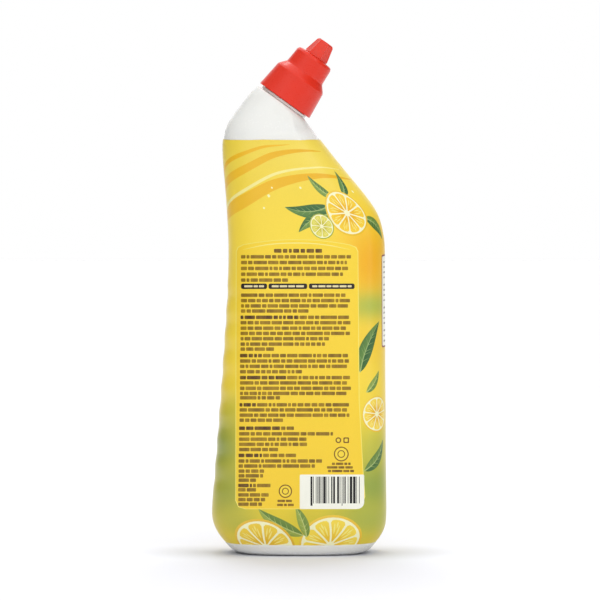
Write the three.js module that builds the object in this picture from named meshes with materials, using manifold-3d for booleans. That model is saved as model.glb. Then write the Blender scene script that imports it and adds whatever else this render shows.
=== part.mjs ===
// A bent-neck bottle of toilet cleaning gel, standing on its base, in millimetres with +Z up.
// +X is the side that the neck leans towards, -Y is the side with the text panel.
// The origin is under the middle of the bottle, on the surface that it stands on.
import * as THREE from "three";
import { mergeVertices } from "three/addons/utils/BufferGeometryUtils.js";
import Module from "manifold-3d";

// ---- driving dimensions ----
const AROUND = 32; // points round a section of the bottle, a multiple of four
const TURNED = 32; // sides of a turned piece

// Stations up the body: left edge x, z; right edge x, z; half depth; roundness (2 is an ellipse).
const STATIONS = [
  [-29.125, 0, 32.375, 0, 16.5, 2.6],
  [-32.725, 0.5, 35.275, 0.5, 19.4, 2.6],
  [-36.325, 2.2, 38.075, 2.2, 22.2, 2.7],
  [-38.825, 5, 40.475, 5, 24.2, 2.8],
  [-42.325, 9, 43.675, 9, 26.2, 2.9],
  [-45.225, 14, 46.175, 14, 27.9, 3],
  [-46.875, 20, 46.875, 20, 28.75, 3.1],
  [-46.325, 30, 46.875, 30, 29, 3.2],
  [-44.625, 52.1, 46.575, 52.1, 29, 3.2],
  [-42.925, 74, 46.475, 74, 28.9, 3.2],
  [-41.375, 94.9, 46.275, 94.9, 28.6, 3.2],
  [-40.025, 115, 46.175, 115, 28.2, 3.2],
  [-38.725, 135, 46.075, 135, 27.8, 3.2],
  [-37.825, 155, 45.975, 155, 27.2, 3.2],
  [-37.925, 168.5, 45.675, 168, 26.7, 3.15],
  [-38.525, 181, 42.675, 180.5, 25.9, 3.05],
  [-39.375, 193.9, 37.075, 189.4, 24.7, 2.95],
  [-40.325, 204.5, 31.025, 197, 23.4, 2.8],
  [-40.925, 213.5, 25.725, 203.35, 22.2, 2.7],
  [-40.825, 221, 19.075, 211.5, 21, 2.6],
  [-38.425, 229.3, 14.775, 217, 19.8, 2.5],
  [-34.325, 235.3, 11.025, 221.8, 18.6, 2.4],
  [-30.325, 240.7, 8.275, 225, 17.3, 2.25],
  [-26.125, 246.1, 5.775, 228.2, 16.1, 2.1],
  [-22.225, 249.7, 3.125, 231.9, 15.2, 2],
];
const BASE_RING = 0.84; // share of the base's outline where the flat ring gives way to the recess
const BASE_RECESS = 2.4; // depth of the recess under the bottle
const WALL = 0.9; // wall of the blown bottle

// Finger grip on the narrow side: shallow scallops
const GRIP_FIRST = 40.3, // height of the lowest hollow
  GRIP_PITCH = 13.9,
  GRIP_COUNT = 8,
  GRIP_DEPTH = 0.62, // from crest to hollow
  GRIP_WIDTH = 15; // how far round from the edge it reaches

// Printed sleeve, shrunk on
const SLEEVE_LOW = 5.3,
  SLEEVE_HIGH = 220.3,
  SLEEVE_THICK = 0.4,
  GAP = 0.3; // between pieces that touch

// Contents: 750 ml
const GEL_LEVEL = 205.0;

// Neck: its axis leans towards +X. Lengths along it are counted from the closure's lower rim.
const NECK_X = -7.675,
  NECK_Z = 241.9,
  NECK_LEAN = 35.5; // degrees
const NECK_ROOT_R = 11.8,
  NECK_BORE_R = 9.8,
  NECK_TOP = 11.8,
  NECK_RING_R = 13.9, // bead round the neck under the closure
  NECK_GROOVE_R = 12.9, // between the bead and the shoulder
  SHOULDER_R = 15.0,
  SHOULDER_TOP = -1.75;
const LEAD = 4.23, // rise of the thread in one turn
  NECK_THREAD = { crest: 13.0, from: 0.0, turns: 1.4, start: 3.2 },
  CAP_THREAD = { crest: 12.25, from: 0.35, turns: 1.25 };

// Closure
const CAP_IN_R = 13.35,
  CAP_LAND = 14.0, // the ceiling that presses on the sealing ring
  SPOUT_TOP = 36.4,
  SPOUT_BORE_R = 1.6;
const GASKET_IN_R = 9.9,
  GASKET_OUT_R = 12.8,
  GASKET_LOW = 12.1,
  GASKET_HIGH = 13.7;

// Tip cap
const TIP_LOW = 28.75,
  TIP_TOP = 38.4,
  TIP_RIBS = 12,
  TIP_RIB_DEPTH = 0.45;

// ---- solids ----
const wasm = await Module();
wasm.setup();

function solid(geometry) {
  const g = geometry.clone();
  g.deleteAttribute("normal");
  g.deleteAttribute("uv");
  const m = mergeVertices(g, 1e-4);
  const p = m.attributes.position.array;
  const t = [];
  const index = m.index.array;
  for (let i = 0; i < index.length; i += 3) {
    const [a, b, c] = [index[i], index[i + 1], index[i + 2]];
    if (a !== b && b !== c && c !== a) t.push(a, b, c);
  }
  let volume = 0;
  for (let i = 0; i < t.length; i += 3) {
    const [a, b, c] = [t[i] * 3, t[i + 1] * 3, t[i + 2] * 3];
    volume +=
      p[a] * (p[b + 1] * p[c + 2] - p[b + 2] * p[c + 1]) +
      p[a + 1] * (p[b + 2] * p[c] - p[b] * p[c + 2]) +
      p[a + 2] * (p[b] * p[c + 1] - p[b + 1] * p[c]);
  }
  if (volume < 0)
    for (let i = 0; i < t.length; i += 3) [t[i + 1], t[i + 2]] = [t[i + 2], t[i + 1]];
  return new wasm.Manifold(
    new wasm.Mesh({
      numProp: 3,
      vertProperties: new Float32Array(p),
      triVerts: new Uint32Array(t),
    }),
  );
}

function geometryOf(body) {
  const mesh = body.getMesh();
  const g = new THREE.BufferGeometry();
  const n = mesh.numProp;
  const xyz = new Float32Array((mesh.vertProperties.length / n) * 3);
  for (let i = 0; i < xyz.length / 3; i++)
    for (let j = 0; j < 3; j++) xyz[i * 3 + j] = mesh.vertProperties[i * n + j];
  g.setAttribute("position", new THREE.BufferAttribute(xyz, 3));
  g.setIndex(new THREE.BufferAttribute(new Uint32Array(mesh.triVerts), 1));
  g.computeVertexNormals();
  return g;
}

function slab(low, high) {
  const g = new THREE.BoxGeometry(200, 200, high - low);
  g.translate(0, 0, (low + high) / 2);
  return solid(g);
}

// ---- the body of the bottle: sections from edge to edge ----
// A smooth curve through the stations, with a parameter that follows their distance apart.
const KNOTS = [0];
for (let i = 1; i < STATIONS.length; i++) {
  const [a, b] = [STATIONS[i - 1], STATIONS[i]];
  const left = Math.hypot(b[0] - a[0], b[1] - a[1]);
  const right = Math.hypot(b[2] - a[2], b[3] - a[3]);
  KNOTS.push(KNOTS[i - 1] + Math.sqrt((left + right) / 2));
}
const END = KNOTS[KNOTS.length - 1];

function station(s) {
  let i = 1;
  while (i < KNOTS.length - 1 && KNOTS[i] < s) i++;
  const [s0, s1] = [KNOTS[i - 1], KNOTS[i]];
  const h = s1 - s0;
  const f = (s - s0) / h;
  const slope = (k, c) => {
    const [lo, hi] = [Math.max(k - 1, 0), Math.min(k + 1, KNOTS.length - 1)];
    return (STATIONS[hi][c] - STATIONS[lo][c]) / (KNOTS[hi] - KNOTS[lo]);
  };
  const [f2, f3] = [f * f, f * f * f];
  return STATIONS[i].map(
    (v, c) =>
      (2 * f3 - 3 * f2 + 1) * STATIONS[i - 1][c] +
      (f3 - 2 * f2 + f) * h * slope(i - 1, c) +
      (3 * f2 - 2 * f3) * v +
      (f3 - f2) * h * slope(i, c),
  );
}

// The rounded section of half width a, half depth b and roundness n, as shares of a and b in its first quarter,
// with its points closer together where it bends.
function quarter(a, b, n, count) {
  const fine = 400;
  const pts = [];
  for (let i = 0; i <= fine; i++) {
    const w = (i / fine) * (Math.PI / 2);
    const r = (Math.cos(w) ** n + Math.sin(w) ** n) ** (-1 / n);
    pts.push([r * Math.cos(w), r * Math.sin(w)]);
  }
  const weight = [0];
  const angle = (i) => Math.atan2((pts[i + 1][1] - pts[i][1]) * b, (pts[i + 1][0] - pts[i][0]) * a);
  const length = pts.slice(1).map((p, i) => Math.hypot((p[0] - pts[i][0]) * a, (p[1] - pts[i][1]) * b));
  const total = length.reduce((x, y) => x + y, 0);
  for (let i = 0; i < fine; i++) {
    const bend = i ? Math.abs(angle(i) - angle(i - 1)) : 0;
    weight.push(weight[i] + length[i] / total + bend / (Math.PI / 2));
  }
  const out = [];
  for (let k = 0; k <= count; k++) {
    const want = (k / count) * weight[fine];
    let i = 1;
    while (i < fine && weight[i] < want) i++;
    const f = (want - weight[i - 1]) / (weight[i] - weight[i - 1]);
    out.push([0, 1].map((c) => pts[i - 1][c] + f * (pts[i][c] - pts[i - 1][c])));
  }
  out[0] = [1, 0];
  out[count] = [0, 1];
  return out;
}

const GRIP_END = GRIP_FIRST + GRIP_PITCH * (GRIP_COUNT - 1);
function gripDepth(z) {
  const u = (z - GRIP_FIRST) / GRIP_PITCH;
  if (u < -0.5 || u > GRIP_COUNT - 0.5) return 0;
  return (GRIP_DEPTH / 2) * (1 + Math.cos(2 * Math.PI * u));
}

// One section, set in by `inset` all round
function section(s, inset) {
  const here = station(s);
  const e = 0.02;
  const [before, after] = [station(Math.max(s - e, 0)), station(Math.min(s + e, END))];
  const normal = (c, side) => {
    const [dx, dz] = [after[c] - before[c], after[c + 1] - before[c + 1]];
    const l = Math.hypot(dx, dz);
    return [(side * dz) / l, (-side * dx) / l];
  };
  const [nl, nr] = [normal(0, 1), normal(2, -1)];
  const left = [here[0] + inset * nl[0], here[1] + inset * nl[1]];
  const right = [here[2] + inset * nr[0], here[3] + inset * nr[1]];
  const middle = [(left[0] + right[0]) / 2, (left[1] + right[1]) / 2];
  const half = Math.hypot(right[0] - left[0], right[1] - left[1]) / 2;
  const along = [(right[0] - left[0]) / (2 * half), (right[1] - left[1]) / (2 * half)];
  const depth = here[4] - inset;
  const q = quarter(half, depth, here[5], AROUND / 4);
  const ring = [];
  for (let i = 0; i < AROUND; i++) {
    const [turn, k] = [Math.floor(i / (AROUND / 4)), i % (AROUND / 4)];
    const [x, y] = [
      [q[k][0], q[k][1]],
      [-q[AROUND / 4 - k][0], q[AROUND / 4 - k][1]],
      [-q[k][0], -q[k][1]],
      [q[AROUND / 4 - k][0], -q[AROUND / 4 - k][1]],
    ][turn];
    const z = middle[1] + half * x * along[1];
    const reach = half * (1 + x); // distance in from the left edge
    const grip = reach < GRIP_WIDTH ? gripDepth(z) * (0.5 + 0.5 * Math.cos((Math.PI * reach) / GRIP_WIDTH)) : 0;
    ring.push(
      new THREE.Vector3(
        middle[0] + half * x * along[0] + grip,
        depth * y,
        z,
      ),
    );
  }
  return { ring, centre: new THREE.Vector3(middle[0], 0, middle[1]), s };
}

// Where the sections lie: at the stations, and at every crest and hollow of the grip
const SECTIONS = [];
{
  const levels = [];
  for (let i = 0; i <= 2 * GRIP_COUNT; i++) levels.push(GRIP_FIRST + GRIP_PITCH * (i / 2 - 0.5));
  const zOf = (s) => station(s)[1];
  for (const z of levels) {
    let [lo, hi] = [0, END];
    for (let k = 0; k < 50; k++) {
      const mid = (lo + hi) / 2;
      if (zOf(mid) < z) lo = mid;
      else hi = mid;
    }
    SECTIONS.push((lo + hi) / 2);
  }
  KNOTS.forEach((s, i) => {
    const z = STATIONS[i][1];
    if (z < levels[0] - 4 || z > levels[levels.length - 1] + 4) SECTIONS.push(s);
  });
  SECTIONS.sort((a, b) => a - b);
}

// A closed skin over the sections. A LatheGeometry gives the faces, and each of its points goes to its place on a section.
function skin(rings) {
  const rows = rings.length;
  const g = new THREE.LatheGeometry(
    rings.map((r, k) => new THREE.Vector2(r.length === 1 ? 0 : 1, k)),
    AROUND,
  );
  const pos = g.attributes.position;
  for (let i = 0; i <= AROUND; i++)
    for (let k = 0; k < rows; k++) {
      const p = rings[k].length === 1 ? rings[k][0] : rings[k][i % AROUND];
      pos.setXYZ(i * rows + k, p.x, p.y, p.z);
    }
  return g;
}

function body(inset, recess = true) {
  const insetAt = typeof inset === "function" ? inset : () => inset;
  const sections = SECTIONS.map((s) => section(s, insetAt(s)));
  const [first, last] = [sections[0], sections[sections.length - 1]];
  const shrink = (share, lift) =>
    first.ring.map((p) => new THREE.Vector3(
      first.centre.x + (p.x - first.centre.x) * share,
      p.y * share,
      p.z + lift,
    ));
  const floor = recess
    ? [
        [new THREE.Vector3(first.centre.x, 0, first.centre.z + BASE_RECESS)],
        shrink(0.55, BASE_RECESS * 0.93),
        shrink(BASE_RING - 0.08, BASE_RECESS * 0.55),
        shrink(BASE_RING, 0),
      ]
    : [[new THREE.Vector3(first.centre.x, 0, first.centre.z)]];
  return solid(skin([...floor, ...sections.map((x) => x.ring), [last.centre]]));
}

// ---- pieces turned about the neck's axis ----
const LEAN = new THREE.Matrix4()
  .makeTranslation(NECK_X, 0, NECK_Z)
  .multiply(new THREE.Matrix4().makeRotationY(THREE.MathUtils.degToRad(NECK_LEAN)));

// A turned solid from its profile of [radius, length along the axis]
function turned(profile, sides = TURNED) {
  const pts = profile.map(([r, a]) => new THREE.Vector2(r, a));
  const onAxis = profile[0][0] === 0 && profile[profile.length - 1][0] === 0;
  if (!onAxis) pts.push(pts[0].clone());
  const g = new THREE.LatheGeometry(pts, sides);
  g.rotateX(Math.PI / 2);
  return g;
}

// A screw thread: a bar whose cross-section is narrower at its crest, wound along the axis and fading out at both ends.
function thread(root, crest, from, turns, start) {
  const steps = Math.round(turns * 18);
  const g = new THREE.BoxGeometry(1, 1, 1, steps, 1, 1);
  const pos = g.attributes.position;
  for (let i = 0; i < pos.count; i++) {
    const f = pos.getX(i) + 0.5;
    const atCrest = pos.getY(i) > 0;
    const angle = 2 * Math.PI * (from + f * turns);
    const fade = Math.min(1, Math.min(f, 1 - f) * turns * 10 + 0.12);
    const r = atCrest ? root + (crest - root) * fade : root - 0.35 * Math.sign(crest - root);
    const width = (atCrest ? 0.95 : 2.0) * (0.55 + 0.45 * fade);
    pos.setXYZ(
      i,
      r * Math.cos(angle),
      r * Math.sin(angle),
      start + (LEAD * angle) / (2 * Math.PI) + pos.getZ(i) * width,
    );
  }
  return g;
}

const leaning = (g) => solid(g.applyMatrix4(LEAN));

// ---- the pieces ----
const parts = new THREE.Group();
function add(name, item, color, roughness) {
  const geometry = item.getMesh ? geometryOf(item) : item;
  const mesh = new THREE.Mesh(
    geometry,
    new THREE.MeshStandardMaterial({ color, roughness, metalness: 0 }),
  );
  mesh.name = name;
  parts.add(mesh);
  return mesh;
}

// Bottle: blown in one piece with its threaded neck, hollow, open at the mouth
const full = body(0);
const under = SLEEVE_THICK + GAP;
const funnel = (s) => {
  const f = Math.max(0, (s - (END - 9)) / 9);
  return under + WALL - under * Math.min(1, f * 2.2) + (SHOULDER_R - NECK_BORE_R - WALL) * f ** 3;
};
const neck = leaning(
  turned([
    [0, -7],
    [SHOULDER_R - 2.2, -7],
    [SHOULDER_R - 0.2, SHOULDER_TOP - 0.9],
    [SHOULDER_R - 0.5, SHOULDER_TOP - 0.25],
    [SHOULDER_R - 1.1, SHOULDER_TOP],
    [NECK_GROOVE_R, SHOULDER_TOP],
    [NECK_GROOVE_R, -1.25],
    [NECK_RING_R - 0.3, -1.2],
    [NECK_RING_R, -0.95],
    [NECK_RING_R, -0.6],
    [NECK_RING_R - 0.3, -0.35],
    [NECK_GROOVE_R - 0.4, -0.25],
    [NECK_ROOT_R, 0.3],
    [NECK_ROOT_R, NECK_TOP - 0.4],
    [NECK_ROOT_R - 0.4, NECK_TOP],
    [0, NECK_TOP],
  ]),
);
const neckThread = leaning(
  thread(NECK_ROOT_R, NECK_THREAD.crest, NECK_THREAD.from, NECK_THREAD.turns, NECK_THREAD.start),
);
const bore = leaning(
  turned([
    [0, -8],
    [NECK_BORE_R, -8],
    [NECK_BORE_R, NECK_TOP + 1],
    [0, NECK_TOP + 1],
  ]),
);
const bottle = body(under)
  .add(full.intersect(slab(-1, SLEEVE_LOW - GAP)))
  .add(full.intersect(slab(SLEEVE_HIGH + GAP, 300)))
  .add(neck)
  .add(neckThread)
  .subtract(body(funnel).add(bore));
add("bottle", bottle, 0xf1f1ea, 0.42);

// Sleeve: printed film shrunk round the body, open at both ends
const sleeve = full
  .subtract(body(SLEEVE_THICK, false))
  .intersect(slab(SLEEVE_LOW, SLEEVE_HIGH));
add("shrink_sleeve", sleeve, 0xf2c935, 0.3);

// Gel: what the bottle holds, up to its level
const gel = body((s) => funnel(s) + GAP).intersect(slab(-1, GEL_LEVEL));
add("cleaner_gel", gel, 0xd9e3a0, 0.2);

// Closure: skirt, shoulder, dome and spout moulded in one
const capProfile = [
  [CAP_IN_R + 0.25, 0],
  [15.85, 0],
  [16.2, 0.35],
  [14.6, 14.3],
  [14.2, 15.2],
  [13.2, 16.2],
  [11.7, 18.2],
  [11.2, 19.6],
  [10.75, 26.6],
  [10.4, 27.6],
  [9.6, 28.3],
  [8.2, 28.45],
  [3.9, 28.45],
  [3.3, 29.1],
  [2.85, SPOUT_TOP - 0.4],
  [2.5, SPOUT_TOP],
  [SPOUT_BORE_R, SPOUT_TOP],
  [SPOUT_BORE_R, 27.4],
  [4.0, 26.95],
  [8.6, 26.6],
  [9.3, 25.9],
  [9.7, 19.6],
  [10.3, 17.4],
  [10.9, CAP_LAND],
  [CAP_IN_R - 0.15, CAP_LAND],
  [CAP_IN_R - 0.1, 12.0],
  [CAP_IN_R, 1.0],
];
const cap = leaning(turned(capProfile)).add(
  leaning(
    thread(
      CAP_IN_R,
      CAP_THREAD.crest,
      CAP_THREAD.from,
      CAP_THREAD.turns,
      NECK_THREAD.start - LEAD / 2,
    ),
  ),
);
add("nozzle_closure", cap, 0xd8322a, 0.4);

// Sealing ring between the neck's lip and the closure
add(
  "neck_gasket",
  leaning(
    turned([
      [GASKET_IN_R, GASKET_LOW],
      [GASKET_OUT_R, GASKET_LOW],
      [GASKET_OUT_R, GASKET_HIGH],
      [GASKET_IN_R, GASKET_HIGH],
    ]),
  ),
  0xe8e6dc,
  0.8,
);

// Tip cap: a ribbed thimble pushed over the spout
const tipOutside = [
  [0, TIP_LOW],
  [6.0, TIP_LOW],
  [6.3, TIP_LOW + 0.3],
  [6.1, TIP_LOW + 1.5],
  [5.85, TIP_LOW + 1.7],
  [4.45, TIP_TOP - 1.3],
  [4.15, TIP_TOP - 0.5],
  [3.5, TIP_TOP],
  [0, TIP_TOP],
];
const tipShell = (() => {
  const sides = TIP_RIBS * 4;
  const g = turned(tipOutside, sides);
  const pos = g.attributes.position;
  for (let i = 0; i < pos.count; i++) {
    const [x, y, z] = [pos.getX(i), pos.getY(i), pos.getZ(i)];
    const r = Math.hypot(x, y);
    if (r < 4 || z < TIP_LOW + 1.6 || z > TIP_TOP - 0.2) continue;
    const wave = 0.5 - 0.5 * Math.cos(TIP_RIBS * Math.atan2(y, x));
    const k = 1 - (TIP_RIB_DEPTH * wave) / r;
    pos.setXYZ(i, x * k, y * k, z);
  }
  return leaning(g);
})();
const tipSocket = leaning(
  turned(
    [
      [0, TIP_LOW - 1],
      [4.3, TIP_LOW - 1],
      [4.3, TIP_LOW + 0.3],
      [3.65, TIP_LOW + 0.95],
      [3.2, SPOUT_TOP],
      [2.8, SPOUT_TOP + 0.35],
      [0, SPOUT_TOP + 0.35],
    ],
    24,
  ),
);
add("tip_cap", tipShell.subtract(tipSocket), 0xdc3329, 0.3);

export default parts;
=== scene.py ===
# Looks for a bent-neck squeeze bottle of cleaning gel in a printed shrink sleeve,
# with a screw-on nozzle closure and a ribbed tip cap. Lengths below are millimetres.
import math

import bpy
import numpy as np
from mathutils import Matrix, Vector
from mathutils.geometry import delaunay_2d_cdt


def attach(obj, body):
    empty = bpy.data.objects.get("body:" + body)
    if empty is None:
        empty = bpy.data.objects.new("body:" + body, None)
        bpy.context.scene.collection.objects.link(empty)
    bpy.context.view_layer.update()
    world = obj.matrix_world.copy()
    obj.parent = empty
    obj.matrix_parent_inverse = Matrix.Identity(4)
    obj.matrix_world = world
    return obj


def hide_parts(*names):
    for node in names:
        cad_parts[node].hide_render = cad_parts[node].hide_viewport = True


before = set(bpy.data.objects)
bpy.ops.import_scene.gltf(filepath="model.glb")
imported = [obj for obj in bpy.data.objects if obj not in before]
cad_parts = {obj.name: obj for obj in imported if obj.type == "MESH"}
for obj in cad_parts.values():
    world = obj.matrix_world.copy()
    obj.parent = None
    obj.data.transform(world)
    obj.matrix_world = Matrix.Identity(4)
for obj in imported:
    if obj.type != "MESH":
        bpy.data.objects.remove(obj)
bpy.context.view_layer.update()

MM = 0.001
rng = np.random.default_rng(7)

# ---------------------------------------------------------------- the body's shape
# Stations up the body: left edge x, z; right edge x, z; half depth; roundness.
STATIONS = np.array(
    [
        [-29.125, 0, 32.375, 0, 16.5, 2.6],
        [-32.725, 0.5, 35.275, 0.5, 19.4, 2.6],
        [-36.325, 2.2, 38.075, 2.2, 22.2, 2.7],
        [-38.825, 5, 40.475, 5, 24.2, 2.8],
        [-42.325, 9, 43.675, 9, 26.2, 2.9],
        [-45.225, 14, 46.175, 14, 27.9, 3],
        [-46.875, 20, 46.875, 20, 28.75, 3.1],
        [-46.325, 30, 46.875, 30, 29, 3.2],
        [-44.625, 52.1, 46.575, 52.1, 29, 3.2],
        [-42.925, 74, 46.475, 74, 28.9, 3.2],
        [-41.375, 94.9, 46.275, 94.9, 28.6, 3.2],
        [-40.025, 115, 46.175, 115, 28.2, 3.2],
        [-38.725, 135, 46.075, 135, 27.8, 3.2],
        [-37.825, 155, 45.975, 155, 27.2, 3.2],
        [-37.925, 168.5, 45.675, 168, 26.7, 3.15],
        [-38.525, 181, 42.675, 180.5, 25.9, 3.05],
        [-39.375, 193.9, 37.075, 189.4, 24.7, 2.95],
        [-40.325, 204.5, 31.025, 197, 23.4, 2.8],
        [-40.925, 213.5, 25.725, 203.35, 22.2, 2.7],
        [-40.825, 221, 19.075, 211.5, 21, 2.6],
        [-38.425, 229.3, 14.775, 217, 19.8, 2.5],
        [-34.325, 235.3, 11.025, 221.8, 18.6, 2.4],
        [-30.325, 240.7, 8.275, 225, 17.3, 2.25],
        [-26.125, 246.1, 5.775, 228.2, 16.1, 2.1],
        [-22.225, 249.7, 3.125, 231.9, 15.2, 2],
    ]
)
SLEEVE_LOW, SLEEVE_HIGH = 5.3, 220.3
GRIP_FIRST, GRIP_PITCH, GRIP_COUNT, GRIP_DEPTH = 40.3, 13.9, 8, 0.62
BASE_RECESS = 2.4

_step = np.diff(STATIONS, axis=0)
KNOTS = np.concatenate(
    [[0], np.cumsum(np.sqrt((np.hypot(_step[:, 0], _step[:, 1]) + np.hypot(_step[:, 2], _step[:, 3])) / 2))]
)
END = KNOTS[-1]


def curve(s):
    """A smooth curve through the stations."""
    i = np.clip(np.searchsorted(KNOTS, s), 1, len(KNOTS) - 1)
    k = np.arange(len(KNOTS))
    lo, hi = np.maximum(k - 1, 0), np.minimum(k + 1, len(KNOTS) - 1)
    slope = (STATIONS[hi] - STATIONS[lo]) / (KNOTS[hi] - KNOTS[lo])[:, None]
    h = (KNOTS[i] - KNOTS[i - 1])[:, None]
    f = ((s - KNOTS[i - 1]) / (KNOTS[i] - KNOTS[i - 1]))[:, None]
    return (
        (2 * f**3 - 3 * f**2 + 1) * STATIONS[i - 1]
        + (f**3 - 2 * f**2 + f) * h * slope[i - 1]
        + (3 * f**2 - 2 * f**3) * STATIONS[i]
        + (f**3 - f**2) * h * slope[i]
    )


FINE = np.linspace(0, END, 6001)


def _smoothed():
    c = curve(FINE)
    sigma = 0.8 / (FINE[1] - FINE[0])
    n = int(4 * sigma)
    w = np.exp(-0.5 * (np.arange(-n, n + 1) / sigma) ** 2)
    w /= w.sum()
    before = 2 * c[0] - c[1 : n + 1][::-1]
    after = 2 * c[-1] - c[-n - 1 : -1][::-1]
    full = np.concatenate([before, c, after])
    out = np.stack([np.convolve(full[:, k], w, mode="valid") for k in range(6)], 1)
    d = np.gradient(out, FINE, axis=0)
    left = np.hypot(d[:, 0], d[:, 1])
    right = np.hypot(d[:, 2], d[:, 3])
    return np.column_stack(
        [out, d[:, 1] / left, -d[:, 0] / left, -d[:, 3] / right, d[:, 2] / right]
    )


CHANNELS = _smoothed()


def channels(s):
    s = np.asarray(s, float)
    return [np.interp(s, FINE, CHANNELS[:, k]) for k in range(10)]


def _oval(theta, n):
    c, s = np.cos(theta), np.sin(theta)
    r = (np.abs(c) ** n + np.abs(s) ** n) ** (-1 / n)
    return -r * c, -r * s


def grip(z, reach):
    u = (z - GRIP_FIRST) / GRIP_PITCH
    depth = (GRIP_DEPTH / 2) * (1 + np.cos(2 * np.pi * u))
    depth = np.where((u < -0.5) | (u > GRIP_COUNT - 0.5), 0, depth)
    outer = 0.5 + 0.5 * np.cos(np.pi * np.clip((reach - 4.5) / 11, 0, 1))
    inner = 1 - 0.35 * np.clip((4.5 - reach) / 4.5, 0, 1) ** 2
    return depth * np.where(reach > 4.5, outer, inner)


def place(theta, s, inset=0.0):
    """Points of the body's skin, set in by inset. theta is 0 at the left edge, and a quarter turn at the front."""
    lx, lz, rx, rz, depth, n, nlx, nlz, nrx, nrz = channels(s)
    lx, lz = lx + inset * nlx, lz + inset * nlz
    rx, rz = rx + inset * nrx, rz + inset * nrz
    X, Y = _oval(theta, n)
    hx, hz = (rx - lx) / 2, (rz - lz) / 2
    x = (lx + rx) / 2 + hx * X
    z = (lz + rz) / 2 + hz * X
    x = x + grip(z, np.hypot(hx, hz) * (1 + X))
    return np.stack([x, (depth - inset) * Y, z], -1)


def s_at(theta, z):
    """The s at which the skin has height z, for each theta."""
    theta, z = np.broadcast_arrays(np.asarray(theta, float), np.asarray(z, float))
    lo, hi = np.zeros(z.shape), np.full(z.shape, END)
    for _ in range(32):
        mid = (lo + hi) / 2
        _, lz, _, rz, _, n = channels(mid)[:6]
        X = _oval(theta, n)[0]
        low = (lz + rz) / 2 + (rz - lz) / 2 * X < z
        lo, hi = np.where(low, mid, lo), np.where(low, hi, mid)
    return (lo + hi) / 2


# Distance round a section of middling size, in mm, stands for theta on the sleeve.
_t = np.linspace(0, 2 * np.pi, 7201)
_X, _Y = _oval(_t, 3.2)
_len = np.hypot(np.diff(43.3 * _X), np.diff(28.6 * _Y))
_ref = np.concatenate([[0], np.cumsum(_len)])
ROUND = _ref[-1]
_bend = np.abs(np.diff(np.unwrap(np.arctan2(np.diff(28.6 * _Y), np.diff(43.3 * _X)))))
_mixed = np.concatenate([[0], np.cumsum(_len / ROUND + 0.5 * np.append(_bend, 0) / (2 * np.pi))])


def theta_of(u):
    return np.interp(np.mod(u, ROUND), _ref, _t)


def columns(count):
    """Angles round the body, closer together where it bends."""
    return np.interp(np.arange(count) / count * _mixed[-1], _mixed, _t)


# ---------------------------------------------------------------- the neck's frame
LEAN = math.radians(35.5)
NECK = np.array([-7.675, 0, 241.9])
AXIS = np.array([math.sin(LEAN), 0, math.cos(LEAN)])
SIDE = np.array([math.cos(LEAN), 0, -math.sin(LEAN)])
ACROSS = np.array([0.0, 1.0, 0.0])


def round_neck(r, phi, a):
    """Points at radius r, angle phi and length a in the neck's frame."""
    r, phi, a = np.broadcast_arrays(r, phi, a)
    return (
        NECK
        + (r * np.cos(phi))[..., None] * SIDE
        + (r * np.sin(phi))[..., None] * ACROSS
        + a[..., None] * AXIS
    )


def turned_normal(nr, nt, na, phi):
    nr, nt, na, phi = np.broadcast_arrays(nr, nt, na, phi)
    c, s = np.cos(phi)[..., None], np.sin(phi)[..., None]
    v = nr[..., None] * (c * SIDE + s * ACROSS) + nt[..., None] * (c * ACROSS - s * SIDE) + na[..., None] * AXIS
    return v / np.linalg.norm(v, axis=-1, keepdims=True)


LEAD = 4.23


def thread_height(phi, a, start, first, turns, wide, narrow):
    """0 to 1: how far up a screw thread's flank a point is."""
    out = np.zeros(np.broadcast(phi, a).shape)
    for k in range(-1, 3):
        turn = phi / (2 * np.pi) + k
        f = (turn - first) / turns
        fade = np.clip(np.minimum(f, 1 - f) * turns * 9, 0, 1)
        fade = fade * fade * (3 - 2 * fade)
        d = np.abs(a - (start + LEAD * turn))
        w0, w1 = wide * (0.5 + 0.5 * fade), narrow * (0.5 + 0.5 * fade)
        h = np.clip((w0 - d) / (w0 - w1), 0, 1)
        out = np.maximum(out, h * h * (3 - 2 * h) * fade)
    return out


def rounded(points):
    """A profile of (r, a, radius) with its corners rounded: its points and their outward normals."""
    p = np.array([q[:2] for q in points], float)
    rad = [q[2] if len(q) > 2 else 0.0 for q in points]
    out, nor = [], []
    n = len(p)

    def normal(d):
        return np.array([d[1], -d[0]]) / np.hypot(*d)

    for i in range(n):
        if i == 0 or i == n - 1:
            d = p[1] - p[0] if i == 0 else p[-1] - p[-2]
            out.append(p[i])
            nor.append(normal(d))
            continue
        a, b = p[i - 1] - p[i], p[i + 1] - p[i]
        la, lb = np.hypot(*a), np.hypot(*b)
        a, b = a / la, b / lb
        turn = math.acos(max(-1, min(1, float(-(a @ b)))))
        if turn < 0.02:
            out.append(p[i])
            nor.append(normal(b - a))
            continue
        cut = min(max(rad[i], 0.04) * math.tan(turn / 2), 0.48 * la, 0.48 * lb)
        steps = max(2, int(math.ceil(turn / math.radians(11))))
        start, end = p[i] + a * cut, p[i] + b * cut
        r = cut / math.tan(turn / 2)
        n0, n1 = normal(-a), normal(b)
        side = 1 if (-a[0] * b[1] + a[1] * b[0]) > 0 else -1
        centre = start - side * n0 * r
        for k in range(steps + 1):
            f = k / steps
            v = (1 - f) * n0 + f * n1
            # equal angles between the two normals
            w = math.sin(turn)
            v = (math.sin((1 - f) * turn) * n0 + math.sin(f * turn) * n1) / w if w > 1e-6 else v
            v = v / np.hypot(*v)
            out.append(centre + side * v * r)
            nor.append(v)
    return np.array(out), np.array(nor)


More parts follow.
